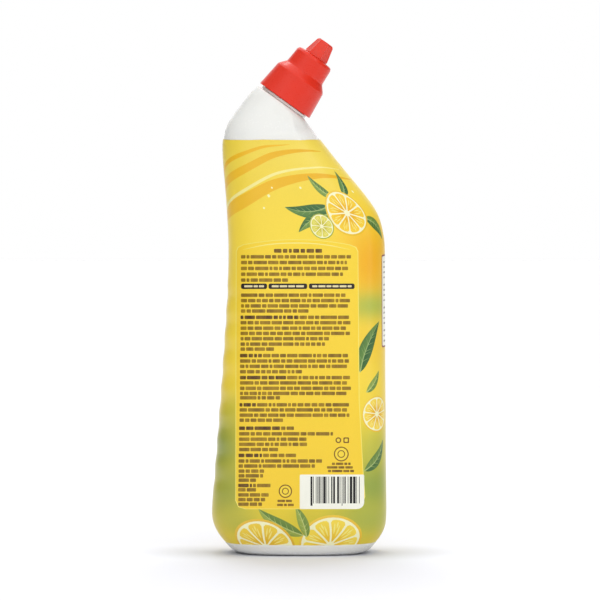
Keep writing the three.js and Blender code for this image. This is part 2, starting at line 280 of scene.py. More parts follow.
# ---------------------------------------------------------------- meshes
def mesh(name, verts, faces, normals=None):
    me = bpy.data.meshes.new(name)
    me.from_pydata((np.asarray(verts) * MM).tolist(), [], faces)
    me.validate()
    me.update()
    me.polygons.foreach_set("use_smooth", np.ones(len(me.polygons), bool))
    if normals is not None:
        me.normals_split_custom_set_from_vertices(np.asarray(normals).tolist())
    me.update()
    o = bpy.data.objects.new(name, me)
    bpy.context.scene.collection.objects.link(o)
    return o


def loft(name, rings, normals=None, loop=False):
    """A skin over rings of equal count. A ring may also be one point. With loop, the last ring joins the first."""
    verts, start, flat = [], [], []
    for k, r in enumerate(rings):
        start.append(len(verts))
        verts.extend(np.atleast_2d(r))
        if normals is not None:
            flat.extend(np.atleast_2d(normals[k]))
    faces = []
    pairs = [(i, i + 1) for i in range(len(rings) - 1)] + ([(len(rings) - 1, 0)] if loop else [])
    for i, j in pairs:
        a, b = np.atleast_2d(rings[i]), np.atleast_2d(rings[j])
        n = max(len(a), len(b))
        for c in range(n):
            d = (c + 1) % n
            if len(a) == 1:
                faces.append((start[i], start[j] + d, start[j] + c))
            elif len(b) == 1:
                faces.append((start[i] + c, start[i] + d, start[j]))
            else:
                faces.append((start[i] + c, start[i] + d, start[j] + d, start[j] + c))
    return mesh(name, verts, faces, flat if normals is not None else None)


def lathe(name, profile, count, shape=None, loop=True):
    """A turned piece about the neck's axis. profile is from rounded(). shape(phi, r, a) gives the radius round the
    axis, and its slopes are taken from it.
    """
    pts, nor = profile
    phi = np.arange(count) * 2 * np.pi / count
    rings, normals = [], []
    for (r, a), (nr, na) in zip(pts, nor):
        if r < 1e-6:
            rings.append(NECK + a * AXIS)
            normals.append(AXIS * (1 if na > 0 else -1))
            continue
        if shape is None:
            rings.append(round_neck(r, phi, a))
            normals.append(turned_normal(nr, 0.0, na, phi))
            continue
        rr = shape(phi, r, a)
        e = 1e-3
        round_slope = (shape(phi + e, r, a) - shape(phi - e, r, a)) / (2 * e)
        up_slope = (shape(phi, r, a + 0.02) - shape(phi, r, a - 0.02)) / 0.04 if abs(nr) > 0.5 else 0.0
        rings.append(round_neck(rr, phi, a))
        normals.append(turned_normal(nr, -nr * round_slope / rr, na - nr * up_slope, phi))
    return loft(name, rings, normals, loop=loop)


def along(values, spacing):
    """Values from the first to the last, no further apart than spacing."""
    lo, hi = values
    return np.linspace(lo, hi, int(math.ceil(abs(hi - lo) / spacing)) + 1)


# ---------------------------------------------------------------- bottle
def base_lift(share):
    f = np.clip((share - 0.56) / (0.84 - 0.56), 0, 1)
    return BASE_RECESS * (0.5 + 0.5 * np.cos(np.pi * f)) - 0.25 * np.minimum(share / 0.56, 1) ** 2 * (1 - f)


BORE_R = 9.8
NECK_TOP = 11.8


def bottle_inset(z, theta):
    """Bare at the base and above the sleeve, and a little further in where the film covers it."""
    edge = SLEEVE_HIGH + 1.3 + sleeve_top(np.interp(theta, _t, _ref))
    return 0.02 + 0.4 * np.clip((z - 5.8) / 0.25, 0, 1) * (1 - smooth(z, edge, edge + 5.5))


def fold(p, s):
    """The soft fold that runs up each side of the neck: the surface falls away a little on both sides of it."""
    q = np.column_stack([p[:, 0], -np.abs(p[:, 1]), p[:, 2]])
    x, y = to_picture(q)
    d = (x - 292.0 - 0.14 * (y - 112)) * PX
    t = (np.sqrt(d * d + 0.36) - 0.6) / 4.5
    on = smooth(q[:, 2], 223.5, 227) * smooth(np.abs(q[:, 1]), 3, 8) * float(1 - smooth(s, END - 4.5, END - 1))
    return 0.62 * t * np.exp(1 - t) * on


def wall_inset(s):
    f = max(0.0, (s - (END - 9)) / 9)
    return 1.6 - 0.7 * min(1.0, f * 2.2) + 4.3 * f**3


def make_bottle():
    count = 176
    theta = columns(count)
    phi = theta + np.pi
    rings = []
    first = place(theta, np.zeros(count), 0.02)
    first[:, 2] = 0
    middle = np.array([(first[:, 0].min() + first[:, 0].max()) / 2, 0, 0])
    rings.append(middle + [0, 0, BASE_RECESS])
    for share in np.concatenate([np.linspace(0.08, 0.56, 7), np.linspace(0.59, 0.84, 12), [0.86, 0.9, 0.95]]):
        ring = middle + (first - middle) * share
        ring[:, 2] = base_lift(share)
        rings.append(ring)
    rings.append(first)
    # up the outside
    low = s_at(0.0, 5.8)
    body = np.concatenate(
        [
            np.linspace(0, low, 22)[1:],
            np.linspace(low, s_at(0.0, 36.0), 18)[1:],
            s_at(0.0, np.arange(36.0, 146.0, 1.7375))[1:],
            np.linspace(s_at(0.0, 145.3), s_at(0.0, 216.0), 34)[1:],
            np.linspace(s_at(0.0, 216.0), END - 0.32, 62)[1:],
        ]
    )
    for s in body:
        whole = place(theta, np.full(count, s), 0.0)
        rings.append(place(theta, np.full(count, s), bottle_inset(whole[:, 2], theta) + fold(whole, s)))
    # over the shoulder to the groove, the bead and the thread
    last = place(theta, np.full(count, END), 0.02) - NECK
    edge = np.hypot(last @ SIDE, last @ ACROSS)
    turn = np.arctan2(last @ ACROSS, last @ SIDE)
    below = rings[-1] - NECK
    bottom = below @ AXIS
    lip = 0.95
    for f in np.linspace(0.0, 1.0, 9)[1:]:
        w = f * math.pi / 2
        a = bottom + (-1.75 - bottom) * math.sin(w)
        r = edge - lip * (1 - math.cos(w))
        rings.append(round_neck(r, turn, a))
    for f in (0.25, 0.6, 0.85):
        r = (edge - lip) * (1 - f) + 13.0 * f
        rings.append(round_neck(r, turn + f * (np.mod(phi - turn + np.pi, 2 * np.pi) - np.pi), -1.75))
    neck, _ = rounded(
        [
            (13.4, -1.75),
            (13.1, -1.75, 0.12),
            (13.1, -1.5, 0.1),
            (14.0, -1.46, 0.26),
            (14.0, -0.2, 0.22),
            (12.7, -0.12, 0.2),
            (11.8, 0.35, 0.4),
            (11.8, 0.9),
        ]
    )
    for r, a in neck[:-1]:
        rings.append(round_neck(r, phi, a))
    for a in along((0.9, NECK_TOP - 0.5), 0.25):
        r = 11.8 + 1.2 * thread_height(phi, a, 3.2, 0.0, 1.4, 1.0, 0.42)
        rings.append(round_neck(r, phi, a))
    top, _ = rounded(
        [
            (11.8, NECK_TOP - 0.45),
            (11.8, NECK_TOP, 0.35),
            (BORE_R, NECK_TOP, 0.3),
            (BORE_R, NECK_TOP - 1.5),
        ]
    )
    for r, a in top[1:]:
        rings.append(round_neck(r, phi, a))
    for a in along((NECK_TOP - 3, -3.2), 2.0):
        rings.append(round_neck(BORE_R, phi, a))
    # down the inside
    for s in np.concatenate([np.linspace(END - 2.5, END - 9, 9), np.linspace(END - 9, 0, 40)[1:]]):
        rings.append(place(theta, np.full(count, s), wall_inset(s)))
    floor = rings[-1]
    centre = np.array([(floor[:, 0].min() + floor[:, 0].max()) / 2, 0, floor[:, 2].mean()])
    for share in (0.95, 0.84, 0.77, 0.7, 0.63, 0.56, 0.3):
        ring = centre + (floor - centre) * share
        ring[:, 2] = centre[2] + base_lift(share)
        rings.append(ring)
    rings.append(centre + [0, 0, BASE_RECESS])
    return loft("bottle_shell", rings)


# ---------------------------------------------------------------- the print on the sleeve
# The picture plane: px across and py down, 0.535 mm each at the bottle's middle, as seen from in front.
PX = 0.535
# The camera looks down a little at a point in the bottle's middle plane.
EYE = 2200.0
EYE_X, EYE_Z = 0.49, 135.4
TILT_SIN, TILT_COS = math.sin(math.radians(2.8)), math.cos(math.radians(2.8))


def to_picture(p):
    p = np.asarray(p, float)
    w = p[:, 2] - EYE_Z
    k = EYE / (EYE + p[:, 1] * TILT_COS - w * TILT_SIN)
    return 300 + (p[:, 0] - EYE_X) * k / PX, 300 - (p[:, 1] * TILT_SIN + w * TILT_COS) * k / PX


_rows = np.arange(4.0, 222.5, 1.0)
_cols = np.linspace(0, ROUND / 2, 361)
_th = theta_of(_cols[:-1])
_th = np.append(_th, np.pi)
_S = s_at(_th[None, :], _rows[:, None])
_P = place(np.broadcast_to(_th, _S.shape), _S, 0.12)
FRONT_X, FRONT_Y = np.maximum.accumulate(_P[..., 0], axis=1), _P[..., 1]


def front(points):
    """Places on the sleeve, as (distance round, height), of points of the picture seen from in front."""
    points = np.atleast_2d(np.asarray(points, float))
    x0 = (points[:, 0] - 300) * PX
    z0 = (300 - points[:, 1]) * PX
    y = np.full(len(points), -27.0)
    for _ in range(6):
        w = (z0 * (EYE + y * TILT_COS) - EYE * y * TILT_SIN) / (EYE * TILT_COS + z0 * TILT_SIN)
        x = EYE_X + x0 * (EYE + y * TILT_COS - w * TILT_SIN) / EYE
        z = EYE_Z + w
        row = np.clip(z - _rows[0], 0, len(_rows) - 1.001)
        i, f = row.astype(int), (row % 1)[:, None]
        X = FRONT_X[i] * (1 - f) + FRONT_X[i + 1] * f
        Y = FRONT_Y[i] * (1 - f) + FRONT_Y[i + 1] * f
        j = np.clip((X < x[:, None]).sum(1), 1, X.shape[1] - 1)
        n = np.arange(len(j))
        g = np.clip((x - X[n, j - 1]) / np.maximum(X[n, j] - X[n, j - 1], 1e-9), 0, 1)
        u = _cols[j - 1] + g * (_cols[j] - _cols[j - 1])
        y = Y[n, j - 1] + g * (Y[n, j] - Y[n, j - 1])
    return np.column_stack([u, z])


def behind(points):
    """The same for a point of the picture seen from behind."""
    points = np.atleast_2d(np.asarray(points, float)).copy()
    points[:, 0] = 598.16 - points[:, 0]
    uz = front(points)
    uz[:, 0] = ROUND - uz[:, 0]
    return uz


def linear(c):
    c = np.asarray(c, float) / 255
    return np.where(c <= 0.04045, c / 12.92, ((c + 0.055) / 1.055) ** 2.4)


def smooth(x, lo, hi):
    f = np.clip((x - lo) / (hi - lo), 0, 1)
    return f * f * (3 - 2 * f)


def mix(a, b, f):
    f = np.asarray(f)[..., None]
    return np.asarray(a, float) * (1 - f) + np.asarray(b, float) * f


def blob(x, y, cx, cy, sx, sy, tilt=0.0):
    c, s = math.cos(tilt), math.sin(tilt)
    dx, dy = (x - cx), (y - cy)
    return np.exp(-0.5 * (((c * dx + s * dy) / sx) ** 2 + ((-s * dx + c * dy) / sy) ** 2))


layers = []  # (outline on the sleeve, colour function, where its coordinates come from, shift round the sleeve)
SEAM = -5.0  # where the film starts, behind the left edge
OVERLAP = 3.2


def dense(points, step):
    points = np.asarray(points, float)
    out = []
    for a, b in zip(points, np.roll(points, -1, axis=0)):
        n = max(1, int(math.ceil(np.hypot(*(b - a)) / step)))
        out.extend(a + (b - a) * (k / n) for k in range(n))
    return np.array(out)


def lay(points, colour, side="front", step=7.0):
    """Adds a field of colour. side is the picture from in front or behind, "round" for distance round and height,
    or (picture, px, py) for a piece of the picture that lies flat on the film from that point on."""
    pts = dense(points, step)
    source = side
    if isinstance(side, tuple):
        which, px0, py0 = side
        u0, z0 = (front if which == "front" else behind)([(px0, py0)])[0]
        uz = np.column_stack([u0 + (pts[:, 0] - px0) * PX, z0 - (pts[:, 1] - py0) * PX])

        def source(u, z):
            return px0 + (u - u0) / PX, py0 - (z - z0) / PX

    elif side == "round":
        uz = pts
    else:  # drop points that fall together at the edge of the view
        uz = (front if side == "front" else behind)(pts)
        uz = uz[np.hypot(*(uz - np.roll(uz, 1, axis=0)).T) > 0.02]
    if len(uz) < 3:
        return
    fn = colour if callable(colour) else (lambda x, y, c=np.array(colour, float): np.broadcast_to(c, (len(x), 3)))
    for shift in (-ROUND, 0.0, ROUND):
        moved = uz + [shift, 0.0]
        if moved[:, 0].max() > SEAM and moved[:, 0].min() < ROUND + SEAM + OVERLAP:
            layers.append((moved, fn, source, shift))


def shade(c0, c1, p0, p1):
    """A colour that goes from c0 at p0 to c1 at p1."""
    p0, p1 = np.array(p0, float), np.array(p1, float)
    d = (p1 - p0) / ((p1 - p0) @ (p1 - p0))

    def fn(x, y):
        f = np.clip((x - p0[0]) * d[0] + (y - p0[1]) * d[1], 0, 1)
        return mix(c0, c1, f)

    return fn


def oval(cx, cy, rx, ry=None, tilt=0.0, n=36):
    ry = rx if ry is None else ry
    w = np.arange(n) * 2 * np.pi / n
    x, y = rx * np.cos(w), ry * np.sin(w)
    c, s = math.cos(tilt), math.sin(tilt)
    return np.column_stack([cx + c * x - s * y, cy + s * x + c * y])


def bar(x0, x1, y, h, r=0.45):
    """A bar with rounded ends."""
    r = min(r * h, (x1 - x0) / 2)
    y0, y1 = y - h / 2, y + h / 2
    return np.array(
        [
            (x0 + r, y0), (x1 - r, y0), (x1 - 0.3 * r, y0 + 0.3 * r), (x1, y0 + r),
            (x1, y1 - r), (x1 - 0.3 * r, y1 - 0.3 * r), (x1 - r, y1), (x0 + r, y1),
            (x0 + 0.3 * r, y1 - 0.3 * r), (x0, y1 - r), (x0, y0 + r), (x0 + 0.3 * r, y0 + 0.3 * r),
        ]
    )


def greeked(x0, x1, y, h, tone, gap, side="front", cell=1.15):
    """A line of plain bars of uneven length and tone, in place of small print."""
    x = x0
    while x < x1 - 2.0:
        w = float(rng.choice([3.0, 4.5, 6.0, 7.5, 10.5, 13.5, 16.5], p=[0.13, 0.18, 0.2, 0.18, 0.16, 0.09, 0.06]))
        w = min(w, x1 - x)
        n = max(2, int(round(w / cell)))
        xs = np.linspace(x, x + w, n + 1)
        r = 0.14 * h
        top = [(x, y - h / 2 + r)] + [(q, y - h / 2) for q in [x + r, *xs[1:-1], x + w - r]] + [(x + w, y - h / 2 + r)]
        low = [(q[0], 2 * y - q[1]) for q in top[::-1]]
        shift = float(rng.uniform(0, 6.28))
        ink = np.array(tone, float) * float(rng.uniform(0.93, 1.07))

        def fn(px, py, ink=ink, shift=shift):
            return mix(ink, (222, 184, 60), 0.14 + 0.13 * np.sin(px * 4.9 + shift))

        lay(top + low, fn, side, step=30)
        x += w + gap
    return x


def box_outline(x0, y0, x1, y1, radii, n=6):
    """A rectangle whose corners are rounded: top left, top right, bottom right, bottom left."""
    out = []
    corners = [(x0, y0, 180), (x1, y0, 270), (x1, y1, 0), (x0, y1, 90)]
    for (x, y, deg), r in zip(corners, radii):
        cx = x + r if x == x0 else x - r
        cy = y + r if y == y0 else y - r
        for k in range(n + 1):
            w = math.radians(deg + 90 * k / n)
            out.append((cx + r * math.cos(w), cy + r * math.sin(w)))
    return np.array(out)


def spline(points, n):
    """A smooth line through the points."""
    p = np.asarray(points, float)
    p = np.vstack([2 * p[0] - p[1], p, 2 * p[-1] - p[-2]])
    t = np.linspace(0, len(p) - 3, n)
    i = np.minimum(t.astype(int), len(p) - 4)
    f = (t - i)[:, None]
    a, b, c, d = p[i], p[i + 1], p[i + 2], p[i + 3]
    return 0.5 * (2 * b + (c - a) * f + (2 * a - 5 * b + 4 * c - d) * f**2 + (3 * b - a - 3 * c + d) * f**3)


def band(points, widths, n=24):
    """A ribbon along a smooth line, with its width at each point."""
    c = spline(points, n)
    w = np.interp(np.linspace(0, 1, n), np.linspace(0, 1, len(widths)), widths)[:, None] / 2
    d = np.gradient(c, axis=0)
    d /= np.linalg.norm(d, axis=1, keepdims=True)
    side = np.column_stack([-d[:, 1], d[:, 0]])
    return np.vstack([c + side * w, (c - side * w)[::-1]])


def leaf(base, tip, width, bend, dark, light, side="front", veins=5):
    base, tip = np.array(base, float), np.array(tip, float)
    d = tip - base
    length = np.hypot(*d)
    across = np.array([-d[1], d[0]]) / length
    t = np.linspace(0, 1, 17)[:, None]
    rib = base + d * t + across * bend * 4 * t * (1 - t)
    tang = np.gradient(rib, axis=0)
    tang /= np.linalg.norm(tang, axis=1, keepdims=True)
    nor = np.column_stack([-tang[:, 1], tang[:, 0]])
    half = (width / 2) * (np.sin(np.pi * t**0.85) ** 0.8) * (1 - 0.25 * t)
    one, two = rib + nor * half, rib - nor * half
    mid = tuple(rib[8])
    lay(np.vstack([one[:-1], rib[::-1][:-1]]), shade(dark, mix(dark, light, 0.35), rib[8], one[8]), side)
    lay(np.vstack([rib[:-1], two[::-1][:-1]]), shade(light, mix(dark, light, 0.55), rib[8], two[8]), side)
    pale = mix(light, (225, 232, 170), 0.45)
    for k in range(veins):
        i = 3 + int(round(k * 10 / max(veins, 1)))
        if i > 13:
            break
        for out in (one, two):
            end = rib[i] + (out[min(i + 2, 16)] - rib[i]) * 0.8
            lay(band([rib[i], (rib[i] + end) / 2 + tang[i] * 0.3, end], [0.7, 0.45, 0.15], 4), mix(light, pale, 0.5), side)
    lay(band([rib[0], rib[4], rib[8], rib[12], rib[16]], [1.3, 1.0, 0.8, 0.5, 0.15], 14), pale, side)
    return mid


def slice_of(cx, cy, r, side="front", parts=9, turn=0.2, rind=(229, 186, 58), flesh=(243, 205, 74), core=(228, 174, 46), squash=1.0, tilt=0.0):
    """A slice of citrus fruit."""
    c, s = math.cos(tilt), math.sin(tilt)

    def put(q):
        q = np.asarray(q, float) * [1, squash]
        return np.column_stack([cx + c * q[:, 0] - s * q[:, 1], cy + s * q[:, 0] + c * q[:, 1]])

    lay(put(oval(0, 0, r, n=44)), shade(mix(rind, (255, 236, 140), 0.35), rind, (cx - r, cy - r), (cx + r * 0.6, cy + r)), side)
    lay(put(oval(0, 0, r * 0.925, n=40)), (252, 242, 200), side)
    for k in range(parts):
        w0 = turn + k * 2 * math.pi / parts
        w1 = w0 + 2 * math.pi / parts
        gap = 0.035 * r
        pts = []
        outer, inner = r * 0.86, r * 0.14
        for f in np.linspace(0, 1, 7):
            w = w0 + (w1 - w0) * f
            pull = 1 - 0.10 * abs(2 * f - 1) ** 4
            g = gap / outer
            w = min(max(w, w0 + g), w1 - g)
            pts.append((outer * pull * math.cos(w), outer * pull * math.sin(w)))
        m = (w0 + w1) / 2
        g = 0.8 * gap / inner
        pts.append((inner * math.cos(w1 - min(g, 0.3)), inner * math.sin(w1 - min(g, 0.3))))
        pts.append((inner * math.cos(w0 + min(g, 0.3)), inner * math.sin(w0 + min(g, 0.3))))

        def fn(x, y, m=m):
            d = np.hypot(x - cx, (y - cy) / squash) / r
            return mix(core, flesh, smooth(d, 0.1, 0.85))

        lay(put(pts), fn, side)
        for f, q0, q1 in ((0.3, 0.42, 0.74), (0.62, 0.36, 0.7), (0.48, 0.6, 0.8)):
            w = w0 + (w1 - w0) * f
            lay(
                put(band([(r * q0 * math.cos(w), r * q0 * math.sin(w)), (r * (q0 + q1) / 2 * math.cos(w), r * (q0 + q1) / 2 * math.sin(w)), (r * q1 * math.cos(w), r * q1 * math.sin(w))], [0.012 * r, 0.05 * r, 0.02 * r], 5)),
                mix(flesh, (255, 244, 170), 0.55),
                side,
            )
    lay(put(oval(0, 0, r * 0.06, n=10)), (250, 238, 190), side)


def fruit(cx, cy, a, b, tilt, side="front", low=(222, 176, 58), high=(248, 226, 104)):
    """A whole lemon with its nipple at one end."""
    w = np.arange(52) * 2 * np.pi / 52
    e = (w + np.pi) % (2 * np.pi) - np.pi
    r = a * b / np.sqrt((b * np.cos(w)) ** 2 + (a * np.sin(w)) ** 2)
    r = r + a * 0.17 * np.exp(-((e / 0.2) ** 2)) + a * 0.05 * np.exp(-(((np.abs(e) - np.pi) / 0.16) ** 2))
    x, y = r * np.cos(w), r * np.sin(w)
    c, s = math.cos(tilt), math.sin(tilt)

    def fn(px, py):
        dx, dy = px - cx, py - cy
        q = np.hypot((c * dx + s * dy) / a + 0.12, (-s * dx + c * dy) / b + 0.28)
        rim = smooth(q, 0.25, 1.25)
        col = mix(high, low, rim)
        glow = np.exp(-0.5 * (q / 0.16) ** 2)
        return mix(col, (253, 245, 178), 0.7 * glow)

    lay(np.column_stack([cx + c * x - s * y, cy + s * x + c * y]), fn, side)
    for _ in range(26):  # pores
        q, v = rng.uniform(0.15, 0.85) ** 0.5, rng.uniform(0, 2 * np.pi)
        qx, qy = a * 0.9 * q * math.cos(v), b * 0.9 * q * math.sin(v)
        lay(oval(cx + c * qx - s * qy, cy + s * qx + c * qy, 0.42, n=5), mix(high, low, 0.75), side)


INK_LIGHT, INK_HAZE = 0.965, 0.034  # the light on the film, and what its gloss adds to every ink
YELLOW_TOP, YELLOW_MID, YELLOW_LOW = (237, 211, 88), (245, 216, 84), (236, 208, 70)


# Soft fields of the ground: picture, place in it, reach round and up in mm, colour, strength
FIELDS = (
    ("front", 312, 158, 24, 7, (246, 228, 130), 0.3),
    ("front", 371, 262, 12, 15, (240, 176, 54), 0.95),
    ("front", 374, 306, 14, 5.2, (172, 188, 90), 0.9),
    ("front", 374, 344, 14, 8, (240, 196, 66), 0.5),
    ("front", 222, 446, 11, 12, (148, 160, 84), 0.95),
    ("front", 226, 492, 12, 12, (160, 168, 86), 0.9),
    ("front", 231, 412, 6, 7, (186, 184, 84), 0.5),
    ("front", 374, 486, 14, 12, (146, 164, 80), 0.95),
    ("front", 368, 520, 15, 7, (170, 178, 82), 0.9),
    ("front", 377, 446, 10, 8, (176, 184, 84), 0.6),
    ("front", 240, 524, 9, 4.6, (176, 178, 82), 0.6),
    ("front", 303, 519, 7, 5, (196, 186, 74), 0.55),
    ("behind", 300, 300, 36, 30, (240, 198, 70), 0.5),
    ("behind", 300, 470, 17, 8, (186, 190, 86), 0.5),
    ("behind", 244, 500, 13, 12, (166, 172, 84), 0.8),
    ("behind", 356, 470, 12, 14, (162, 170, 84), 0.8),
    ("behind", 236, 262, 7, 10, (196, 198, 92), 0.5),
)


def ground(u, z):
    """The sleeve's ground by distance round and height."""
    y = 552.4 - z / PX
    col = mix(YELLOW_TOP, YELLOW_MID, smooth(y, 150, 240))
    col = mix(col, YELLOW_LOW, smooth(y, 330, 500))
    for side, px, py, su, sz, c, k in FIELDS:
        u0, z0 = (front if side == "front" else behind)([(px, py)])[0]
        d = np.mod(u - u0 + ROUND / 2, ROUND) - ROUND / 2
        col = mix(col, c, k * np.exp(-0.5 * ((d / su) ** 2 + ((z - z0) / sz) ** 2)))
    return col


def ribbon(side, points, widths, colour, before=(), after=()):
    """A ribbon along points of the picture that runs on round the edges by steps of (round, up) in mm."""
    uz = (front if side == "front" else behind)(points)
    path = [uz[0] + q for q in before] + list(uz) + [uz[-1] + q for q in after]
    lay(band(path, widths, 64), colour, "round", 3.0)


def draw_ribbons():
    gold = shade((242, 200, 76), (232, 180, 58), (-20, 150), (90, 200))
    ribbon("front", [(227, 220), (240, 203), (276, 184), (318, 176), (352, 180)], [0.2, 4.5, 7.5, 8, 7.2, 5, 2.6, 0.2], gold, [(-54, -30), (-32, -20), (-13, -9)])
    ribbon("front", [(227, 210), (240, 193), (276, 174), (316, 168), (340, 170)], [0.2, 1.2, 1.7, 1.7, 1.7, 1.3, 0.8, 0.2], (250, 233, 152), [(-48, -28), (-29, -19), (-12, -9)])
    ribbon("front", [(227, 182), (240, 172), (272, 157), (300, 152), (322, 153)], [0.2, 2.8, 4.4, 4.6, 4.2, 3, 1.6, 0.2], gold, [(-44, -22), (-26, -14), (-10, -6)])
    ribbon("front", [(227, 164), (238, 157), (262, 149), (290, 146)], [0.2, 1.4, 2.2, 2.4, 2.2, 1.4, 0.2], (236, 186, 62), [(-34, -16), (-20, -10), (-8, -4.5)])
    wave = shade((240, 198, 74), (229, 180, 60), (ROUND * 0.55, 90), (ROUND * 0.95, 100))
    ribbon("behind", [(228, 370), (290, 362), (344, 384), (372, 381)], [0.2, 6, 11, 13, 11.5, 9, 6, 0.2], wave, [(-26, -12), (-12, -6)], [(9, 2), (20, 3)])
    ribbon("behind", [(228, 358), (290, 349), (344, 371), (372, 369)], [0.2, 1.2, 2, 2.2, 2, 1.6, 1, 0.2], (250, 233, 152), [(-26, -12), (-12, -6)], [(9, 2), (20, 3)])
    ribbon("behind", [(228, 388), (292, 380), (342, 401), (372, 394)], [0.2, 0.8, 1.4, 1.6, 1.4, 1.2, 0.7, 0.2], (244, 210, 96), [(-22, -10), (-10, -5)], [(8, 2), (18, 3)])


def draw_front():
    # fruit slices and leaves at the upper right
    dark, light = (70, 106, 76), (108, 142, 84)
    upper = ("front", 347, 213)
    leaf((330, 206), (281, 207), 15, -5, dark, light, upper)
    leaf((328, 214), (291, 232), 13, 4, (82, 118, 78), (128, 156, 84), upper)
    leaf((340, 198), (322, 176), 11, -3, (92, 126, 80), (140, 164, 88), upper)
    leaf((354, 196), (368, 172), 10, 3, dark, light, upper)
    leaf((366, 218), (388, 240), 13, -4, (84, 116, 74), (122, 150, 82), upper)
    slice_of(347, 213, 22.5, upper, parts=9, turn=0.3)
    slice_of(316, 226, 12.5, upper, parts=8, turn=0.1, rind=(150, 166, 66), flesh=(222, 214, 104), core=(196, 186, 70))
    for x, y, r in ((266, 196, 1.5), (272, 188, 1.0), (258, 208, 1.1), (372, 192, 1.3), (306, 188, 1.2)):
        lay(oval(x, y, r, n=12), (252, 244, 190), upper)
    # leaves and a slice on the right-hand strip
    strip = ("front", 370, 372)
    leaf((359, 372), (383, 322), 17, -4, (66, 102, 68), (108, 142, 80), strip, 6)
    leaf((366, 392), (382, 371), 9, 2, (104, 136, 78), (150, 170, 88), strip, 3)
    slice_of(379, 414, 18, strip, parts=9, turn=0.5, flesh=(246, 214, 90))
    leaf((364, 470), (390, 440), 13, 4, (78, 112, 70), (124, 150, 80), strip)
    # slices and a leaf that rise from the foot, behind the panel
    foot = ("front", 300, 530)
    slice_of(331, 548, 33, foot, parts=10, turn=0.2, rind=(226, 184, 60), flesh=(243, 216, 88), core=(233, 192, 62))
    leaf((303, 536), (262, 509), 15, -3, (104, 134, 74), (152, 168, 84), foot, 5)
    leaf((306, 538), (296, 506), 11, 2, (118, 144, 78), (160, 174, 88), foot, 4)
    slice_of(262, 551, 32, foot, parts=10, turn=0.45, rind=(220, 174, 56), flesh=(238, 206, 82), core=(226, 182, 58))
    # golden panel
    arch = [(236.4 + 120 * f, 246.5 - 6.5 * (1 - (2 * f - 1) ** 2)) for f in np.linspace(0.06, 0.94, 15)]
    lower = [(357.6, 252), (358.8, 400), (362.5, 468), (364.5, 496), (362, 504), (356, 508.6), (246, 508.6), (239, 506.6), (236, 500), (236.2, 400), (236.6, 252), (238.4, 247.6)]
    outer = np.array(arch + [(355.6, 247.6)] + lower)
    middle = np.array([298, 380])
    lay(middle + (outer - middle) * [1.012, 1.0045], (251, 228, 118))
    # painted shade: the panel's yellow darkens towards its left edge, where the body turns away from the light
    lay(
        outer,
        lambda x, y: mix(mix((252, 211, 74), (248, 207, 70), smooth(y, 250, 500)), (236, 206, 74), 0.8 * (1 - smooth(x, 235, 247))),
    )
    lay(band([(243, 249.5), (268, 244.6), (296, 243), (324, 244.6), (350, 249.5)], [0.15, 0.9, 1.1, 0.9, 0.15], 20), (252, 234, 140))
    # lines of greeked text: (height, from, to, heavy)
    rows = [(250.8, 274, 322, 2)]
    rows += [(y, 241, e, 0) for y, e in ((256.8, 351), (262.5, 347), (268.4, 350), (274.2, 345), (280.1, 288))]
    rows += [(y, 241, e, 0) for y, e in ((295.2, 348), (300.6, 351), (305.9, 349), (311, 311))]
    for y, e in ((317.3, 349), (322.7, 351), (328.2, 346), (333.4, 350), (338.7, 329), (344.1, 327), (349.1, 274)):
        rows.append((y, 240.5, e, 0))
    for y, e in ((355.6, 348), (361, 351), (366.3, 347), (371.7, 302), (377.6, 350), (382.9, 347), (388.3, 351), (393.4, 349), (397.8, 280)):
        rows.append((y, 240, e, 0))
    for y, e in ((404.8, 350), (409.9, 347), (415.2, 351), (420.2, 283)):
        rows.append((y, 239.5, e, 0))
    for y, e in ((428.2, 295), (433.8, 333), (439.2, 307), (444.3, 307), (449.5, 278)):
        rows.append((y, 239, e, 0))
    for y, e in ((455.4, 297), (461, 322), (466, 315), (471.1, 266), (475.8, 263), (480.2, 257)):
        rows.append((y, 238.5, e, 0))
    for y, e in ((485.5, 271), (489.8, 256), (494.9, 270), (499.6, 268), (504.2, 262)):
        rows.append((y, 238.2, e, 0))
    heavy_start = {317.3: 300, 355.6: 262, 377.6: 286, 404.8: 256, 428.2: 280, 455.4: 262, 485.5: 252}
    for y, x0, x1, weight in rows:
        bold = heavy_start.get(y, 0)
        if weight == 2:
            greeked(x0, x1, y, 3.9, (104, 80, 14), 1.4)
        elif bold:
            end = greeked(x0, bold, y, 3.6, (92, 70, 12), 1.0)
            greeked(end, x1, y, 3.5, (138, 110, 14), 1.0)
        else:
            greeked(x0, x1, y, 3.5, (138, 110, 14), 1.0)
    # dark labels with a pale line each
    for x0, x1 in ((241, 267), (268.6, 307.2), (309, 354.6)):
        lay(box_outline(x0, 283.5, x1, 289.0, [1.8] * 4, 4), (58, 46, 34))
        x = x0 + 3.2
        while x < x1 - 4:
            w = float(rng.uniform(3.5, 8.5))
            w = min(w, x1 - 3 - x)
            lay(bar(x, x + w, 286.25, 2.0, 0.2), (226, 214, 168), step=9)
            x += w + 1.1
    # plain marks
    lay(oval(338.4, 440.2, 2.9, n=18), (122, 88, 30))
    lay(oval(338.4, 440.2, 1.7, n=16), (248, 214, 78))
    lay(box_outline(343.4, 437.4, 349, 443, [0.8] * 4, 2), (122, 88, 30))
    lay(box_outline(344.6, 438.6, 347.8, 441.8, [0.5] * 4, 2), (248, 214, 78))
    for cx, cy, r in ((341.3, 454, 7.4), (285.4, 491.2, 6.7)):
        lay(oval(cx, cy, r, n=36), (120, 86, 30))
        lay(oval(cx, cy, r - 1.1, n=34), (248, 214, 78))
        lay(oval(cx, cy, r * 0.52, n=24), (120, 86, 30))
        lay(oval(cx, cy, r * 0.52 - 0.9, n=20), (248, 214, 78))
    for x0, x1, y in ((332, 350.6, 463.8), (327, 355.6, 467.4), (328, 354, 471), (277.5, 293.4, 500.9), (277, 294, 504.9)):
        greeked(x0, x1, y, 2.4, (124, 96, 14), 0.9)
